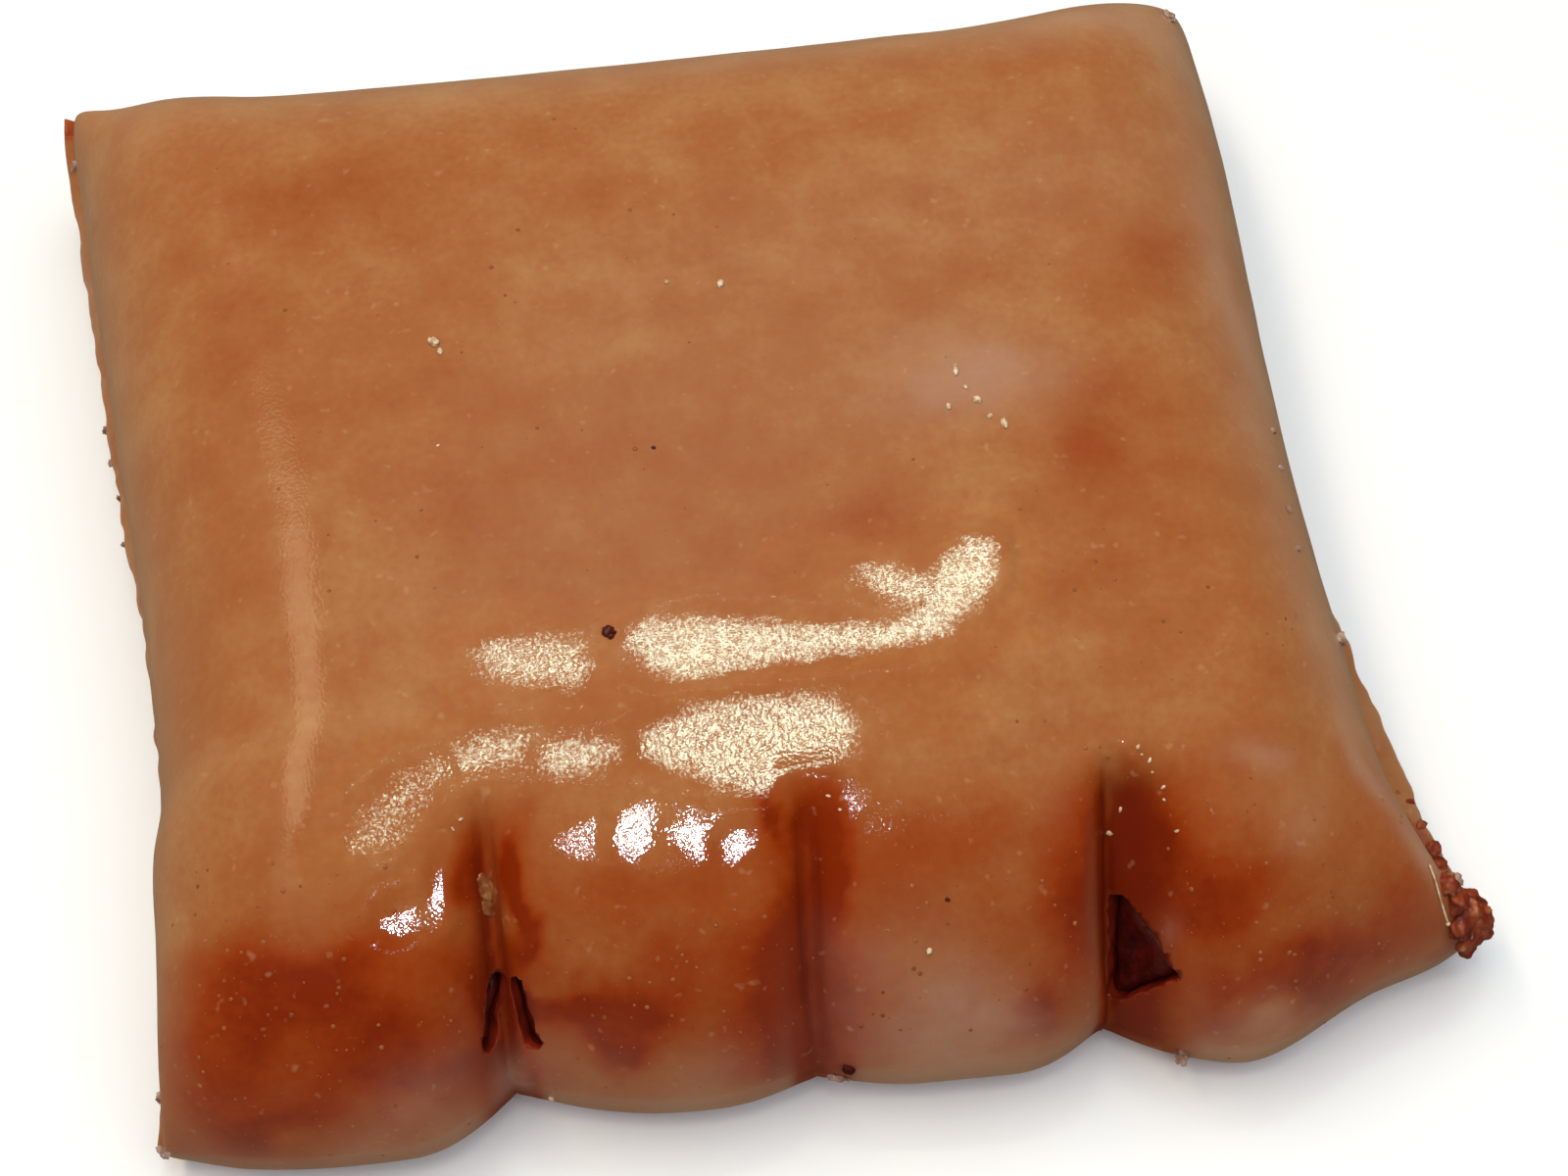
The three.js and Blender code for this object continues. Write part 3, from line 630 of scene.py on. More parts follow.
# Milky haze in the glaze, and a painted sheen of reflected light on the flanks, the back edge and the toes'
# feet: strength in percent and spot.
HAZE_AND_SHEEN_SPOTS = [
    (14, 700, 430, 26, 12), (55, 985, 380, 7, 4), (10, 800, 250, 26, 10), (45, 975, 1030, 5, 3.5),
    (20, 900, 1010, 6, 4), (20, 1325, 830, 2.5, 2, 30), (40, 1290, 775, 2.2, 1), (10, 640, 600, 24, 10),
    (10, 1100, 170, 14, 7), (40, 1270, 1065, 6, 2), (30, 470, 1150, 10, 2, 12), (30, 680, 1120, 12, 1.4),
    (30, 1000, 1085, 9, 2), (50, 530, 1095, 2.4, 2), (20, 1180, 955, 1.2, 1.6), (40, 90, 300, 2.6, 18, -8),
    (25, 120, 620, 1.6, 16, -6), (40, 1110, 20, 8, 3), (10, 700, 70, 24, 2.4), (40, 1262, 330, 2.6, 16),
    (50, 1395, 780, 1.6, 9, 30), (60, 1456, 876, 1.4, 2.6, 30), (30, 1345, 640, 2, 8), (35, 1215, 80, 3, 5),
]
SPOT_RAGGEDNESS = 2.4
# The crust's smudges are longer from left to right.
SMUDGE_STRETCH = np.array([0.5, 1, 1])
# The dough's own browning, how much more it browns at the front, and how much painted shade darkens it
# beside the cuts.
BROWN_LEVEL, FRONT_BROWN, CUT_SHADE = 0.42, 0.14, 0.32
FRONT_SPAN, CUT_SHADE_WIDTH = (-34, -42), 3.8
# Where the pale lip of the seam and the pale under side fade out.
LIP_WIDTH, LIP_TOP, UNDER_TOP = (0.6, 2.6), (6.5, 8.5), 2.5
# Dark stains of the filling round its mouths.
STAINS = [
    (502, 1030, 1.3, 5, 8), (532, 1026, 1.1, 4.2, -6), (500, 1075, 0.9, 2.5), (1142, 960, 1.6, 4.2),
    (1165, 990, 2.6, 1.6, 20), (1132, 905, 0.8, 2.6),
]


def browning(points, surface):
    """Share of browning and of painted shade beside the cuts: 0 is pale dough, 1 the darkest crust."""
    warped = ragged_points(points, (SPOT_RAGGEDNESS, 6, 4), (0.8, 1.8, 34))
    brown_and_shade = BROWN_LEVEL + 0.05 * lumps(points, 16, 7) + 0.06 * lumps(points * SMUDGE_STRETCH, 5, 8)
    brown_and_shade = brown_and_shade + FRONT_BROWN * ease(*FRONT_SPAN, points[:, 1])
    # Painted shade darkens the toes beside the cuts.
    brown_and_shade = brown_and_shade + CUT_SHADE * cut_shade_band(warped)
    for darkness, *spot in BROWN_SPOTS:
        share = ease(0, 1.0, spot_share(warped, surface, *spot))
        brown_and_shade = brown_and_shade + darkness / 100 * share
    return np.clip(brown_and_shade, 0, 1)


# Share of milky haze in the glaze and of painted sheen.
def haze(points, surface):
    warped = ragged_points(points, (SPOT_RAGGEDNESS, 7, 37))
    milk_and_sheen = sum(strength / 100 * spot_share(warped, surface, *spot)
                for strength, *spot in HAZE_AND_SHEEN_SPOTS)
    return np.clip(milk_and_sheen, 0, 1)


def cut_shade_band(points):
    """Painted shade: 1 in the middle of a cut, fading across the toes beside it."""
    return np.max([
        np.exp(-((across / CUT_SHADE_WIDTH) ** 2)) * (1 - ease(0.7, 1.1, along))
        for _cut, across, along in cut_places(points)
    ], axis=0)


def inside_cuts(points):
    return np.max([
        ease(0.02, 0.3, cut_share(cut, across)) * (1 - ease(0.9, 1.1, along))
        for cut, across, along in cut_places(points)
    ], axis=0)


def cut_wall_shade(points):
    """Painted shade: 1 on the walls of the cuts, less on their floors."""
    shift = 0.35 * lumps(points, 1.6, 40)
    walls = []
    for cut, across, along in cut_places(points):
        share = cut_share(cut, across + shift)
        wall = ease(0.12, 0.7, share) * (1 - 0.55 * ease(0.9, 1.0, share))
        walls.append(wall * (1 - ease(0.8, 1.0, along)))
    return np.max(walls, axis=0)


def stains(points, surface):
    warped = ragged_points(points, (0.6, 2, 52))
    share = np.max([spot_share(warped, surface, *spot) for spot in STAINS], axis=0)
    return ease(0.1, 0.9, share)


def seam_paleness(points):
    """1 on the dry, pale lip of the seam and on the under side."""
    x, y, z = (points + MIDDLE).T
    ragged = seam_distance(x, y) + 0.5 * lumps(points, 2, 45)
    lip = (1 - ease(*LIP_WIDTH, ragged)) * ease(1, SEAM_FRONT, y)
    return np.maximum(lip * (1 - ease(*LIP_TOP, z)), 1 - ease(0, UNDER_TOP, z))


# ---- glaze and crumbs
# Fields of bubbles: left, top, right and bottom pixel, and how many.
BUBBLE_FIELDS = [
    ((160, 880, 480, 1180), 150), ((560, 900, 830, 1120), 110), ((870, 860, 1110, 1080), 80),
    ((1180, 800, 1440, 1080), 120), ((200, 120, 1180, 620), 90), ((1000, 560, 1330, 800), 60),
]
BUBBLE_SEED = 7
BUBBLE_SIZES, BUBBLE_HEIGHT = (0.06, 0.22), 0.4
# Each of the rest: x and y pixel, three radii in hundredths of a mm, and turn in degrees
# where it isn't 0.
BEADS = [
    (443, 350, 55, 35, 30, 40), (449, 359, 30, 25, 20), (735, 290, 35, 28, 20), (680, 288, 22, 20, 15),
    (975, 378, 60, 25, 20, 10), (997, 408, 40, 30, 25, 30), (968, 415, 30, 20, 20), (1025, 432, 50, 25, 20),
    (1010, 425, 25, 20, 15), (985, 395, 20, 20, 15), (1161, 762, 20, 14, 12, 60), (1165, 770, 12, 10, 10),
    (1173, 776, 24, 12, 12, 60), (1176, 788, 12, 10, 10), (1187, 803, 20, 12, 12, 60),
    (1188, 816, 14, 10, 10), (1201, 848, 20, 12, 12, 60), (1143, 826, 12, 26, 12), (845, 812, 20, 10, 10),
    (857, 826, 14, 10, 10), (470, 836, 20, 12, 12), (462, 846, 10, 20, 10), (948, 970, 25, 25, 20),
    (1132, 850, 30, 20, 15), (563, 1120, 25, 20, 20),
]
CUT_GLAZE = [
    (494, 906, 90, 130, 26), (498, 926, 60, 90, 20, 20),
]
EAR_CRUMBS = [
    (1474, 903, 90, 80, 80), (1483, 916, 120, 110, 100), (1491, 930, 140, 120, 120),
    (1486, 946, 110, 100, 90), (1499, 945, 130, 120, 120), (1500, 924, 120, 110, 110),
    (1494, 958, 100, 90, 90), (1509, 936, 110, 100, 100), (1512, 948, 90, 80, 80), (1438, 818, 30, 50, 20),
    (1450, 842, 40, 70, 30), (1461, 866, 60, 80, 50), (1468, 884, 80, 80, 60), (1515, 930, 90, 80, 80),
    (1505, 958, 70, 80, 60),
]
STRING_PIXELS = [(1458, 884), (1464, 900), (1470, 922), (1477, 944)]
STRING_STEPS = 14
STRING_LIFT, STRING_RADIUS, DROP_RADIUS = 0.3, 0.09, 0.2
TOP_CRUMBS = [
    (621, 645, 55, 50, 45), (624, 650, 30, 30, 30), (667, 457, 20, 15, 12), (967, 918, 20, 15, 12),
    (866, 1090, 50, 70, 35),
]
EDGE_FLAKES = [
    (1244, 84, 60, 50, 40, 20), (1192, 18, 70, 50, 40), (1266, 214, 40, 110, 40), (1274, 236, 40, 100, 40),
    (1284, 258, 60, 50, 40), (1205, 1084, 50, 50, 70), (855, 1102, 90, 40, 30), (165, 1178, 60, 50, 40),
    (150, 1120, 40, 60, 30), (1485, 897, 60, 50, 40), (1511, 914, 80, 50, 50, 20), (1522, 926, 70, 60, 50),
    (1525, 938, 60, 80, 50), (1299, 440, 25, 30, 20), (1306, 478, 20, 40, 20), (1314, 520, 30, 40, 20),
    (1324, 560, 20, 40, 20), (1366, 652, 60, 50, 40), (96, 440, 25, 50, 20), (98, 476, 30, 40, 20),
    (100, 512, 20, 50, 20), (104, 560, 20, 30, 20), (76, 170, 30, 50, 20),
]


# ---- meshes
WELD_DISTANCE = 1e-6


def new_object(name, data):
    piece = bpy.data.objects.new(name, data)
    bpy.context.scene.collection.objects.link(piece)
    return piece


def make_mesh(name, points, faces):
    mesh = bpy.data.meshes.new(name)
    mesh.from_pydata((points * MM).tolist(), [], faces)
    mesh.validate()
    mesh.update()
    return new_object(name, mesh)


def piece_from(name, mesh):
    """Makes a piece from a bmesh."""
    data = bpy.data.meshes.new(name)
    mesh.to_mesh(data)
    mesh.free()
    return new_object(name, data)


def vertex_values(piece, name):
    values = np.zeros(len(piece.data.vertices) * 3, np.float32)
    piece.data.vertices.foreach_get(name, values)
    return values.reshape(-1, 3).astype(float)


def modify(piece, kind, **settings):
    """Applies a modifier to a piece."""
    modifier = piece.modifiers.new(kind.lower(), kind)
    for name, value in settings.items():
        setattr(modifier, name, value)
    depsgraph = bpy.context.evaluated_depsgraph_get()
    mesh = bpy.data.meshes.new_from_object(piece.evaluated_get(depsgraph))
    piece.modifiers.clear()
    piece.data = mesh


def points_of(piece):
    return vertex_values(piece, "co") / MM


def move_points(piece, points):
    piece.data.vertices.foreach_set("co", (points * MM).astype(np.float32).ravel())
    piece.data.update()


def copy_of_filling(name):
    """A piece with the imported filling's mesh, its points joined."""
    mesh = bmesh.new()
    mesh.from_mesh(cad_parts["filling"].data)
    bmesh.ops.remove_doubles(mesh, verts=mesh.verts, dist=WELD_DISTANCE)
    piece = piece_from(name, mesh)
    piece.data.materials.clear()
    return piece


def boolean(piece, other, operation):
    modify(piece, "BOOLEAN", object=other, operation=operation, solver="MANIFOLD")
    bpy.data.objects.remove(other)


# ---- filling and its cavity
FILLING_VOXEL, MOUTH_VOXEL, CRUMB_VOXEL = 0.45, 0.3, 0.2
FILLING_GROWTH = 0.2
MOUTH_SEED = 20


def voxel_remesh(piece, size):
    size = size * 1.0 * MM
    modify(piece, "REMESH", mode="VOXEL", voxel_size=size)


def grow(piece, shift):
    """Moves the points of a piece along their normals."""
    move_points(piece, points_of(piece) + shift * vertex_values(piece, "normal"))


def roughen(piece, amount, size, seed):
    grow(piece, amount * lumps(points_of(piece), size, seed)[:, None])


def mouth_piece(index, mouth):
    """Ragged hollow that opens a cut's wall where the filling shows."""
    corners, radius, into, depth = mouth
    inward = np.array(into) / np.linalg.norm(into)
    mesh = bmesh.new()
    for corner in corners:
        for distance in (0, depth):
            centre = (np.array(corner) + inward * distance - MIDDLE) * MM
            place = Matrix.Translation(Vector(centre))
            bmesh.ops.create_icosphere(mesh, subdivisions=2, radius=radius * MM, matrix=place)
    bmesh.ops.convex_hull(mesh, input=mesh.verts)
    inner = [vertex for vertex in mesh.verts if not vertex.link_faces]
    bmesh.ops.delete(mesh, geom=inner, context="VERTS")
    piece = piece_from(f"mouth_{index}", mesh)
    voxel_remesh(piece, MOUTH_VOXEL)
    roughen(piece, 0.3, 1.3, MOUTH_SEED + index)
    return piece


def cavity_piece():
    """The filling's place in the dough with its mouths, grown by the clearance."""
    cavity = copy_of_filling("cavity")
    grow(cavity, CAVITY_CLEARANCE)
    for index, mouth in enumerate(MOUTHS):
        boolean(cavity, mouth_piece(index, mouth), "UNION")
    return cavity


def make_filling():
    filling = copy_of_filling("filling_jam")
    voxel_remesh(filling, FILLING_VOXEL)
    grow(filling, FILLING_GROWTH)
    roughen(filling, 0.35, 1.8, 30)
    roughen(filling, 0.12, 0.8, 31)
    filling.data.shade_smooth()
    filling.data.materials.append(filling_material())
    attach(filling, "root")
    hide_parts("filling")


# ---- dough
# The skin's relief sets in between these heights, and its glaze is duller left of the span.
RELIEF_SPAN, DULL_SPAN = (0.0, 2.0), (-42, -36)


def make_dough():
    points, faces, sunk = closed_skin()
    surface = Surface(points, faces)
    dough = make_mesh("dough_crust", points, faces)
    normals = vertex_values(dough, "normal")
    height, sleek, bare = relief(points, normals, surface)
    height *= ease(*RELIEF_SPAN, points[:, 2])
    moved = points + height[:, None] * normals
    moved[:, 2] = np.maximum(moved[:, 2], 0)
    move_points(dough, moved)
    # Painted shade on the walls of the cuts, deeper where they sink further; the wall share also holds the
    # filling's stains.
    red = cut_wall_shade(points) * ease(0.3, 2.5, sunk)
    shares = {
        "browning": browning(points, surface), "haze": haze(points, surface),
        "wall": np.maximum(red, stains(points, surface)), "pale": seam_paleness(points),
        "sleek": sleek, "bare": bare,
        "dull": 1 - ease(*DULL_SPAN, points[:, 0] + 2 * lumps(points, 4, 46)),
        "cut": inside_cuts(points), "skin": np.ones(len(points)),
    }
    for name, values in shares.items():
        attribute = dough.data.attributes.new(name, "FLOAT", "POINT")
        attribute.data.foreach_set("value", values.astype(np.float32))
    boolean(dough, cavity_piece(), "DIFFERENCE")
    dough.data.shade_smooth()
    dough.data.materials.clear()
    dough.data.materials.append(dough_material())
    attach(dough, "root")
    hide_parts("dough")
    return Surface(moved, faces)


# ---- small pieces
def add_ball(mesh, centre, radii, normal=(0, 0, 1), turn=0, raggedness=0.0, seed=0,
             subdivisions=2):
    """Adds a lumpy ball whose third radius stands along the normal; sizes are in mm."""
    axes = Vector(normal).to_track_quat("Z", "Y").to_matrix()
    axes = axes @ Matrix.Rotation(radians(turn), 3, "Z")
    for vertex in bmesh.ops.create_icosphere(mesh, subdivisions=subdivisions, radius=1.0)["verts"]:
        away = noise.noise(vertex.co * 1.6 + Vector((seed * 3.7, 0, 0)))
        away += 0.5 * noise.noise(vertex.co * 4 + Vector((0, seed * 2.3, 0)))
        offset = Vector([radii[k] * vertex.co[k] for k in range(3)]) * (1 + raggedness * away)
        vertex.co = (Vector(centre) + axes @ offset) * MM


def add_strand(mesh, path, radius, sides=8):
    """Adds a round strand along a path."""
    rings = []
    for k, place in enumerate(path):
        ahead = path[min(k + 1, len(path) - 1)] - path[max(k - 1, 0)]
        axes = Vector(ahead).to_track_quat("Z", "Y").to_matrix()
        ring = []
        for side in range(sides):
            angle = 2 * pi * side / sides
            offset = axes @ Vector((cos(angle), sin(angle), 0)) * radius
            ring.append(mesh.verts.new((Vector(place) + offset) * MM))
        rings.append(ring)
    for ring, following in zip(rings, rings[1:]):
        for side in range(sides):
            after = (side + 1) % sides
            mesh.faces.new((ring[side], ring[after], following[after], following[side]))
    mesh.faces.new(rings[0][::-1])
    mesh.faces.new(rings[-1])


def dress(name, mesh, material):
    """Makes a piece that rides on the pastry from a bmesh."""
    piece = piece_from(name, mesh)
    piece.data.shade_smooth()
    piece.data.materials.append(material)
    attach(piece, "root")
    return piece


def add_spots(mesh, surface, spots, sink, raggedness, first=0, subdivisions=3):
    """Adds a ball for each spot, sunk into the skin by a share of its height."""
    for index, (x, y, *radii) in enumerate(spots):
        turn = radii.pop() if len(radii) > 3 else 0
        radii = [radius / 100 for radius in radii]
        place, normal = surface.at((x, y))
        centre = place + normal * radii[2] * (1 - 2 * sink)
        add_ball(mesh, centre, radii, normal, turn, raggedness, first + index, subdivisions)
    return mesh


def make_ear_crumbs(surface):
    mesh = bmesh.new()
    for index, (place, radius) in enumerate(CRAGS):
        centre = np.array(place) - MIDDLE
        radii = (radius, radius, 0.9 * radius)
        add_ball(mesh, centre, radii, raggedness=0.5, seed=50 + index, subdivisions=4)
    add_spots(mesh, surface, EAR_CRUMBS, 0.35, 0.6, first=140, subdivisions=4)
    crumbs = dress("ear_crumbs", mesh, crumb_material())
    voxel_remesh(crumbs, CRUMB_VOXEL)
    roughen(crumbs, 0.16, 0.9, 60)
    crumbs.data.shade_smooth()


def make_bubbles(surface):
    """Small bubbles in the glaze, most of them over the toes."""
    rng = np.random.default_rng(BUBBLE_SEED)
    mesh = bmesh.new()
    for (left, top, right, bottom), count in BUBBLE_FIELDS:
        for x, y, share in rng.random((count, 3)):
            place, normal = surface.at((mix(left, right, x), mix(top, bottom, y)))
            size = mix(*BUBBLE_SIZES, share**3)
            add_ball(mesh, place, (size, size, BUBBLE_HEIGHT * size), normal)
    dress("glaze_bubbles", mesh, bubble_material())


def make_beads(surface):
    mesh = add_spots(bmesh.new(), surface, BEADS, 0.3, 0.5)
    dress("glaze_beads", mesh, bead_material())


def make_cut_glaze(surface):
    mesh = add_spots(bmesh.new(), surface, CUT_GLAZE, 0.3, 0.35, first=70, subdivisions=4)
    dress("glaze_in_cut", mesh, syrup_material())


def make_string(surface):
    mesh = bmesh.new()
    path = surface.path(STRING_PIXELS) + np.array([0, 0, STRING_LIFT])
    share = np.linspace(0, 1, STRING_STEPS)
    at = np.linspace(0, 1, len(path))
    smooth = np.stack([np.interp(share, at, path[:, axis]) for axis in range(3)], axis=-1)
    add_strand(mesh, smooth, STRING_RADIUS)
    add_ball(mesh, smooth[-1], (DROP_RADIUS,) * 3, subdivisions=3)
    dress("glaze_string", mesh, bead_material())


def make_top_crumb(surface):
    mesh = add_spots(bmesh.new(), surface, TOP_CRUMBS, 0.3, 0.5, first=90)
    dress("filling_crumbs", mesh, filling_material())


def make_edge_flakes(surface):
    mesh = add_spots(bmesh.new(), surface, EDGE_FLAKES, 0.3, 0.6, first=100, subdivisions=4)
    dress("edge_flakes", mesh, flake_material())


# ---- materials
class Shader:
    """A material whose nodes are added one call each."""

    def __init__(self, name):
        self.material = bpy.data.materials.new(name)
        self.material.use_nodes = True
        self.tree = self.material.node_tree
        self.tree.nodes.clear()

    def add(self, kind, inputs=None, **settings):
        node = self.tree.nodes.new("ShaderNode" + kind)
        for name, value in settings.items():
            setattr(node, name, value)
        for name, value in (inputs or {}).items():
            self.put(node.inputs[name], value)
        return node

    def put(self, socket, value):
        if isinstance(value, bpy.types.NodeSocket):
            self.tree.links.new(value, socket)
        else:
            socket.default_value = value

    def share(self, name):
        return self.add("Attribute", attribute_name=name).outputs["Fac"]

    def lumps(self, size, detail=3.0, roughness=0.5):
        """Noise from 0 to 1 with lumps of that size in mm."""
        place = self.add("TexCoord").outputs["Object"]
        inputs = {"Vector": place, "Scale": 1 / (size * MM), "Detail": detail, "Roughness": roughness}
        return self.add("TexNoise", inputs).outputs["Fac"]

    def math(self, operation, a, b, c=0.0, clamp=False):
        return self.add("Math", {0: a, 1: b, 2: c}, operation=operation, use_clamp=clamp).outputs[0]

    def ramp(self, value, stops):
        node = self.add("ValToRGB", {"Fac": value})
        for _ in stops[2:]:
            node.color_ramp.elements.new(0.5)
        for element, (place, colour) in zip(node.color_ramp.elements, stops):
            element.position = place
            element.color = linear(colour)
        return node.outputs["Color"]

    def mix(self, share, a, b):
        """Colour between two, each a socket or an sRGB colour."""
        node = self.add("Mix", {"Factor": share}, data_type="RGBA")
        for socket, value in zip(node.inputs[6:8], (a, b)):
            self.put(socket, linear(value) if isinstance(value, tuple) else value)
        return node.outputs[2]

    def bump(self, size, detail, distance, **inputs):
        """Normal of a surface with lumps of that size, at most as high as the distance."""
        heights = {"Height": self.lumps(size, detail), "Strength": 1.0, "Distance": distance * MM}
        return self.add("Bump", heights | inputs).outputs[0]

    def finish(self, inputs):
        """Gives the material a surface with those inputs."""
        surface = self.add("BsdfPrincipled", inputs)
        self.add("OutputMaterial", {"Surface": surface.outputs[0]})
        return self.material


def linear(colour):
    """Linear colour with alpha from an sRGB colour of 0 to 255."""
    values = [channel / 255 for channel in colour]
    return [v / 12.92 if v <= 0.04045 else ((v + 0.055) / 1.055) ** 2.4 for v in values] + [1.0]


# sRGB colours of the crust by its browning and painted shade.
CRUST = [(0.0, (198, 158, 110)), (0.25, (178, 125, 77)), (0.45, (162, 97, 51)),
         (0.65, (151, 73, 28)), (0.85, (144, 52, 8)), (1.0, (126, 36, 2))]
# Red of the cuts' painted shade and stains, milky haze with painted sheen, dry lip, sugar, painted sheen at
# grazing angles and torn crumb.
CUT_SHADE_AND_STAIN_RED, MILK_AND_SHEEN, DRY_SKIN = (106, 26, 9), (178, 138, 116), (150, 112, 84)
SUGAR, PAINTED_SHEEN, TORN_RED = (205, 160, 118), (218, 184, 146), (122, 32, 16)
GLAZE_INDEX, PLAIN_INDEX = 2.0, 1.5


def crust_colour(shader, open_skin):
    """Browned crust under painted shade and stains in the cuts, haze with painted sheen, dry lip, sugar and
    a painted sheen at grazing angles; torn crumb is red.
    """
    math, lumps, share = shader.math, shader.lumps, shader.share
    mottle = math("MULTIPLY", math("SUBTRACT", lumps(4.5, 4), 0.5), 0.30)
    speckle = math("MULTIPLY", math("SUBTRACT", lumps(0.8, 3), 0.5), 0.16)
    colour = shader.ramp(math("ADD", share("browning"), math("ADD", mottle, speckle)), CRUST)
    dots = math("MULTIPLY", math("SUBTRACT", lumps(1.1, 1), 0.69), 9.0, clamp=True)
    # Painted sheen: lighter where the skin turns away from the camera, as reflected light at grazing
    # angles.
    facing = shader.add("LayerWeight", {"Blend": 0.5}).outputs["Facing"]
    painted_sheen = math("MULTIPLY", math("POWER", facing, 2.6), math("MULTIPLY", open_skin, 0.5))
    for amount, tint in (
        # Painted shade and the filling's stains in the cuts.
        (math("MULTIPLY", share("wall"), 0.8), CUT_SHADE_AND_STAIN_RED),
        (math("MULTIPLY", share("haze"), math("ADD", lumps(3.0, 3), 0.45), clamp=True), MILK_AND_SHEEN),
        (math("MULTIPLY", share("pale"), math("MULTIPLY", lumps(1.6, 3), 0.7)), DRY_SKIN),
        (math("MULTIPLY", dots, 0.22), SUGAR),
        (painted_sheen, PAINTED_SHEEN),
    ):
        colour = shader.mix(amount, colour, tint)
    return shader.mix(math("POWER", share("skin"), 3.0), TORN_RED, colour)


def glaze_gloss(shader, open_skin):
    """The glaze's gloss: less on the pale lip and in the cuts, none on bare spots."""
    math = shader.math
    gloss = math("MULTIPLY", math("MULTIPLY_ADD", shader.share("pale"), -0.36, 0.45),
                 math("MULTIPLY_ADD", open_skin, 0.7, 0.3))
    sandy = math("MULTIPLY_ADD", shader.lumps(0.3, 1), 1.6, -1.3)
    bare = math("ADD", shader.share("bare"), sandy)
    bare = math("MULTIPLY_ADD", bare, 1.5, 0.5, clamp=True)
    return math("MULTIPLY", gloss, math("MULTIPLY_ADD", bare, -0.97, 1.0))


def dough_material():
    shader = Shader("glazed_dough")
    sleek = shader.share("sleek")
    open_skin = shader.math("MULTIPLY_ADD", shader.share("cut"), -1.0, 1.0)
    grain = shader.math("MULTIPLY_ADD", sleek, -0.3, 1.0)
    blur = shader.math("MULTIPLY_ADD", shader.share("dull"), 0.05, 0.09)
    peel = shader.bump(1.8, 2, 0.003)
    return shader.finish({
        "Base Color": crust_colour(shader, open_skin), "Roughness": 0.5,
        "Specular IOR Level": 0.05, "Normal": shader.bump(1.4, 3, 0.04),
        "Subsurface Weight": 0.25, "Subsurface Radius": (1.0, 0.35, 0.15),
        "Subsurface Scale": 1.5 * MM, "Coat Weight": glaze_gloss(shader, open_skin),
        "Coat Roughness": shader.math("MULTIPLY_ADD", sleek, -0.045, blur),
        "Coat IOR": GLAZE_INDEX,
        "Coat Normal": shader.bump(0.28, 0.5, 0.012, Strength=grain, Normal=peel),
    })


def lumpy_material(name, size, detail, stops, roughness, *groups, bump=None):
    """A material with a lumpy colour; a bump is its lumps' size, detail and height."""
    shader = Shader(name)
    inputs = {"Base Color": shader.ramp(shader.lumps(size, detail), stops), "Roughness": roughness}
    for group in groups:
        inputs |= group
    if bump:
        inputs["Normal"] = shader.bump(*bump)
    return shader.finish(inputs)


def coat(weight, roughness, index=GLAZE_INDEX):
    return {"Coat Weight": weight, "Coat Roughness": roughness, "Coat IOR": index}


def clear_depth(weight, blue):
    """Light that spreads inside a piece, by its weight and the share of blue."""
    radius = (1.0, 0.5, blue)
    return {"Subsurface Weight": weight, "Subsurface Radius": radius, "Subsurface Scale": 0.8 * MM}


def crumb_material():
    stops = [(0.3, (98, 24, 8)), (0.48, (126, 42, 14)), (0.62, (150, 68, 28)), (0.76, (190, 130, 86))]
    return lumpy_material("baked_crumb", 1.3, 3, stops, 0.45, coat(0.2, 0.08), bump=(0.5, 3, 0.1))


def bubble_material():
    stops = [(0.35, (132, 62, 28)), (0.65, (166, 100, 60))]
    faint = {"Specular IOR Level": 0.15}
    return lumpy_material("bubbly_glaze", 6.0, 2, stops, 0.4, faint, clear_depth(0.3, 0.3),
                          coat(0.13, 0.12))


def bead_material():
    stops = [(0.35, (190, 150, 110)), (0.65, (236, 214, 180))]
    return lumpy_material("dried_glaze", 0.6, 2, stops, 0.3, coat(0.5, 0.1, PLAIN_INDEX))


def syrup_material():
    stops = [(0.35, (112, 54, 22)), (0.5, (134, 76, 38)), (0.7, (164, 110, 64))]
    return lumpy_material("syrupy_glaze", 0.7, 3, stops, 0.35, clear_depth(0.4, 0.2),
                          coat(0.26, 0.06), bump=(0.5, 2, 0.06))


def flake_material():
    stops = [(0.35, (134, 94, 76)), (0.65, (190, 164, 148))]
    return lumpy_material("glazed_flake", 0.9, 3, stops, 0.35, clear_depth(0.3, 0.3), coat(0.2, 0.08))


def filling_material():
    stops = [(0.3, (46, 5, 3)), (0.7, (84, 12, 7))]
    return lumpy_material("dark_filling", 1.2, 3, stops, 0.4, coat(0.4, 0.12, PLAIN_INDEX),
                          bump=(0.8, 3, 0.15))


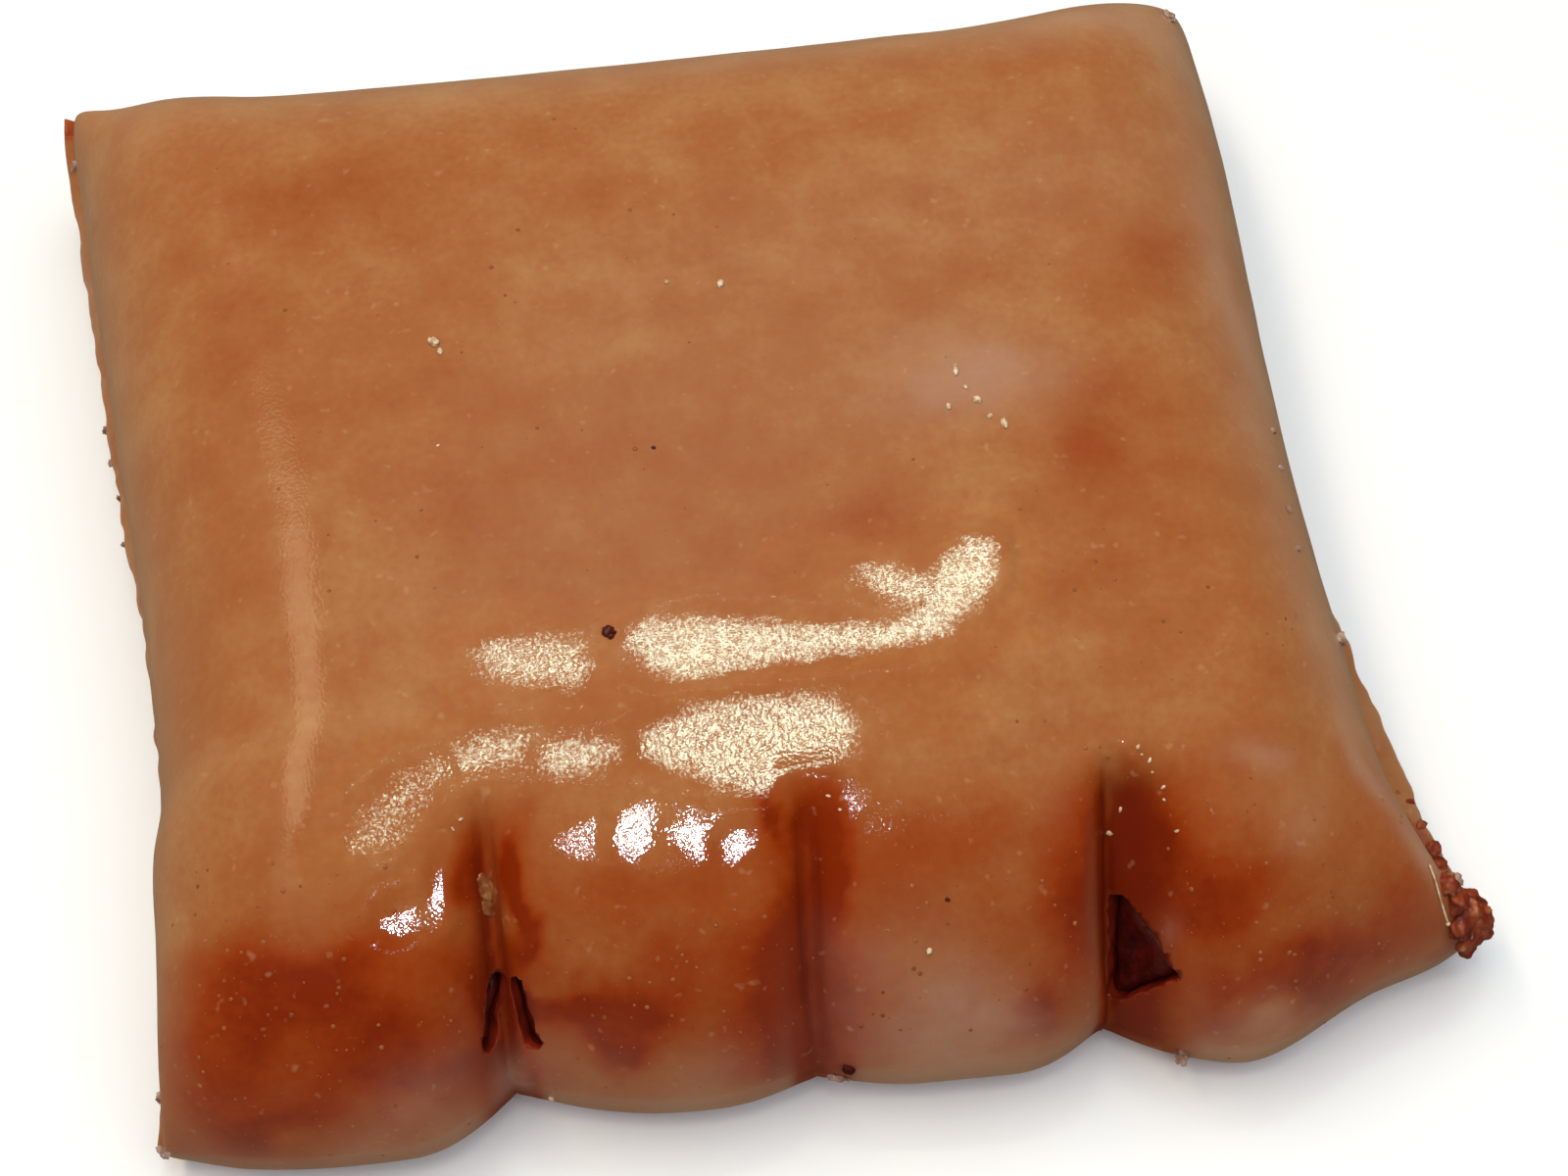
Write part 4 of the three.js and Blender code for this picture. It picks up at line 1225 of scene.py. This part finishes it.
def floor_material():
    return Shader("pale_floor").finish({"Base Color": FLOOR_COLOUR, "Roughness": 0.7})


# ---- stage
FLOOR_REACH = 3000.0
FLOOR_COLOUR = (0.92, 0.925, 0.94, 1)
WORLD_LIGHT = 0.03
SOFT_TOP = ((0, 0, 1200), (1800, 1800), 2.04, (248, 251, 255))


def make_camera():
    data = bpy.data.cameras.new("camera")
    data.lens = LENS
    data.sensor_width = SENSOR
    data.sensor_fit = "HORIZONTAL"
    data.clip_start = 0.01
    camera = new_object("camera", data)
    axes = np.stack([RIGHTWARD, UPWARD, -FORWARD, CAMERA_PLACE * MM], axis=-1)
    camera.matrix_world = Matrix(np.vstack([axes, [0, 0, 0, 1]]).tolist())
    bpy.context.scene.camera = camera


def make_floor():
    corners = FLOOR_REACH * np.array([(-1, -1, 0), (1, -1, 0), (1, 1, 0), (-1, 1, 0)])
    floor = make_mesh("floor", corners, [[0, 1, 2, 3]])
    floor.data.materials.append(floor_material())
    floor.visible_glossy = False


def area_light(name, place, size, radiance, colour, shows=True):
    """A rectangular lamp that faces down."""
    data = bpy.data.lights.new(name, "AREA")
    data.shape = "RECTANGLE"
    data.size, data.size_y = size[0] * MM, size[1] * MM
    data.energy = radiance * pi * data.size * data.size_y
    data.color = linear(colour)[:3]
    lamp = new_object(name, data)
    lamp.location = Vector(place) * MM
    lamp.visible_glossy = shows


def make_lights():
    world = bpy.data.worlds.new("world")
    world.use_nodes = True
    background = world.node_tree.nodes["Background"]
    background.inputs["Color"].default_value = (1, 1, 1, 1)
    background.inputs["Strength"].default_value = WORLD_LIGHT
    bpy.context.scene.world = world
    area_light("soft_top", *SOFT_TOP, shows=False)
    for name, lamp in LAMPS.items():
        area_light(name, *lamp)


make_camera()
make_floor()
make_lights()
skin = make_dough()
make_filling()
make_ear_crumbs(skin)
make_bubbles(skin)
make_beads(skin)
make_cut_glaze(skin)
make_string(skin)
make_top_crumb(skin)
make_edge_flakes(skin)
bpy.context.scene.view_settings.view_transform = "Standard"
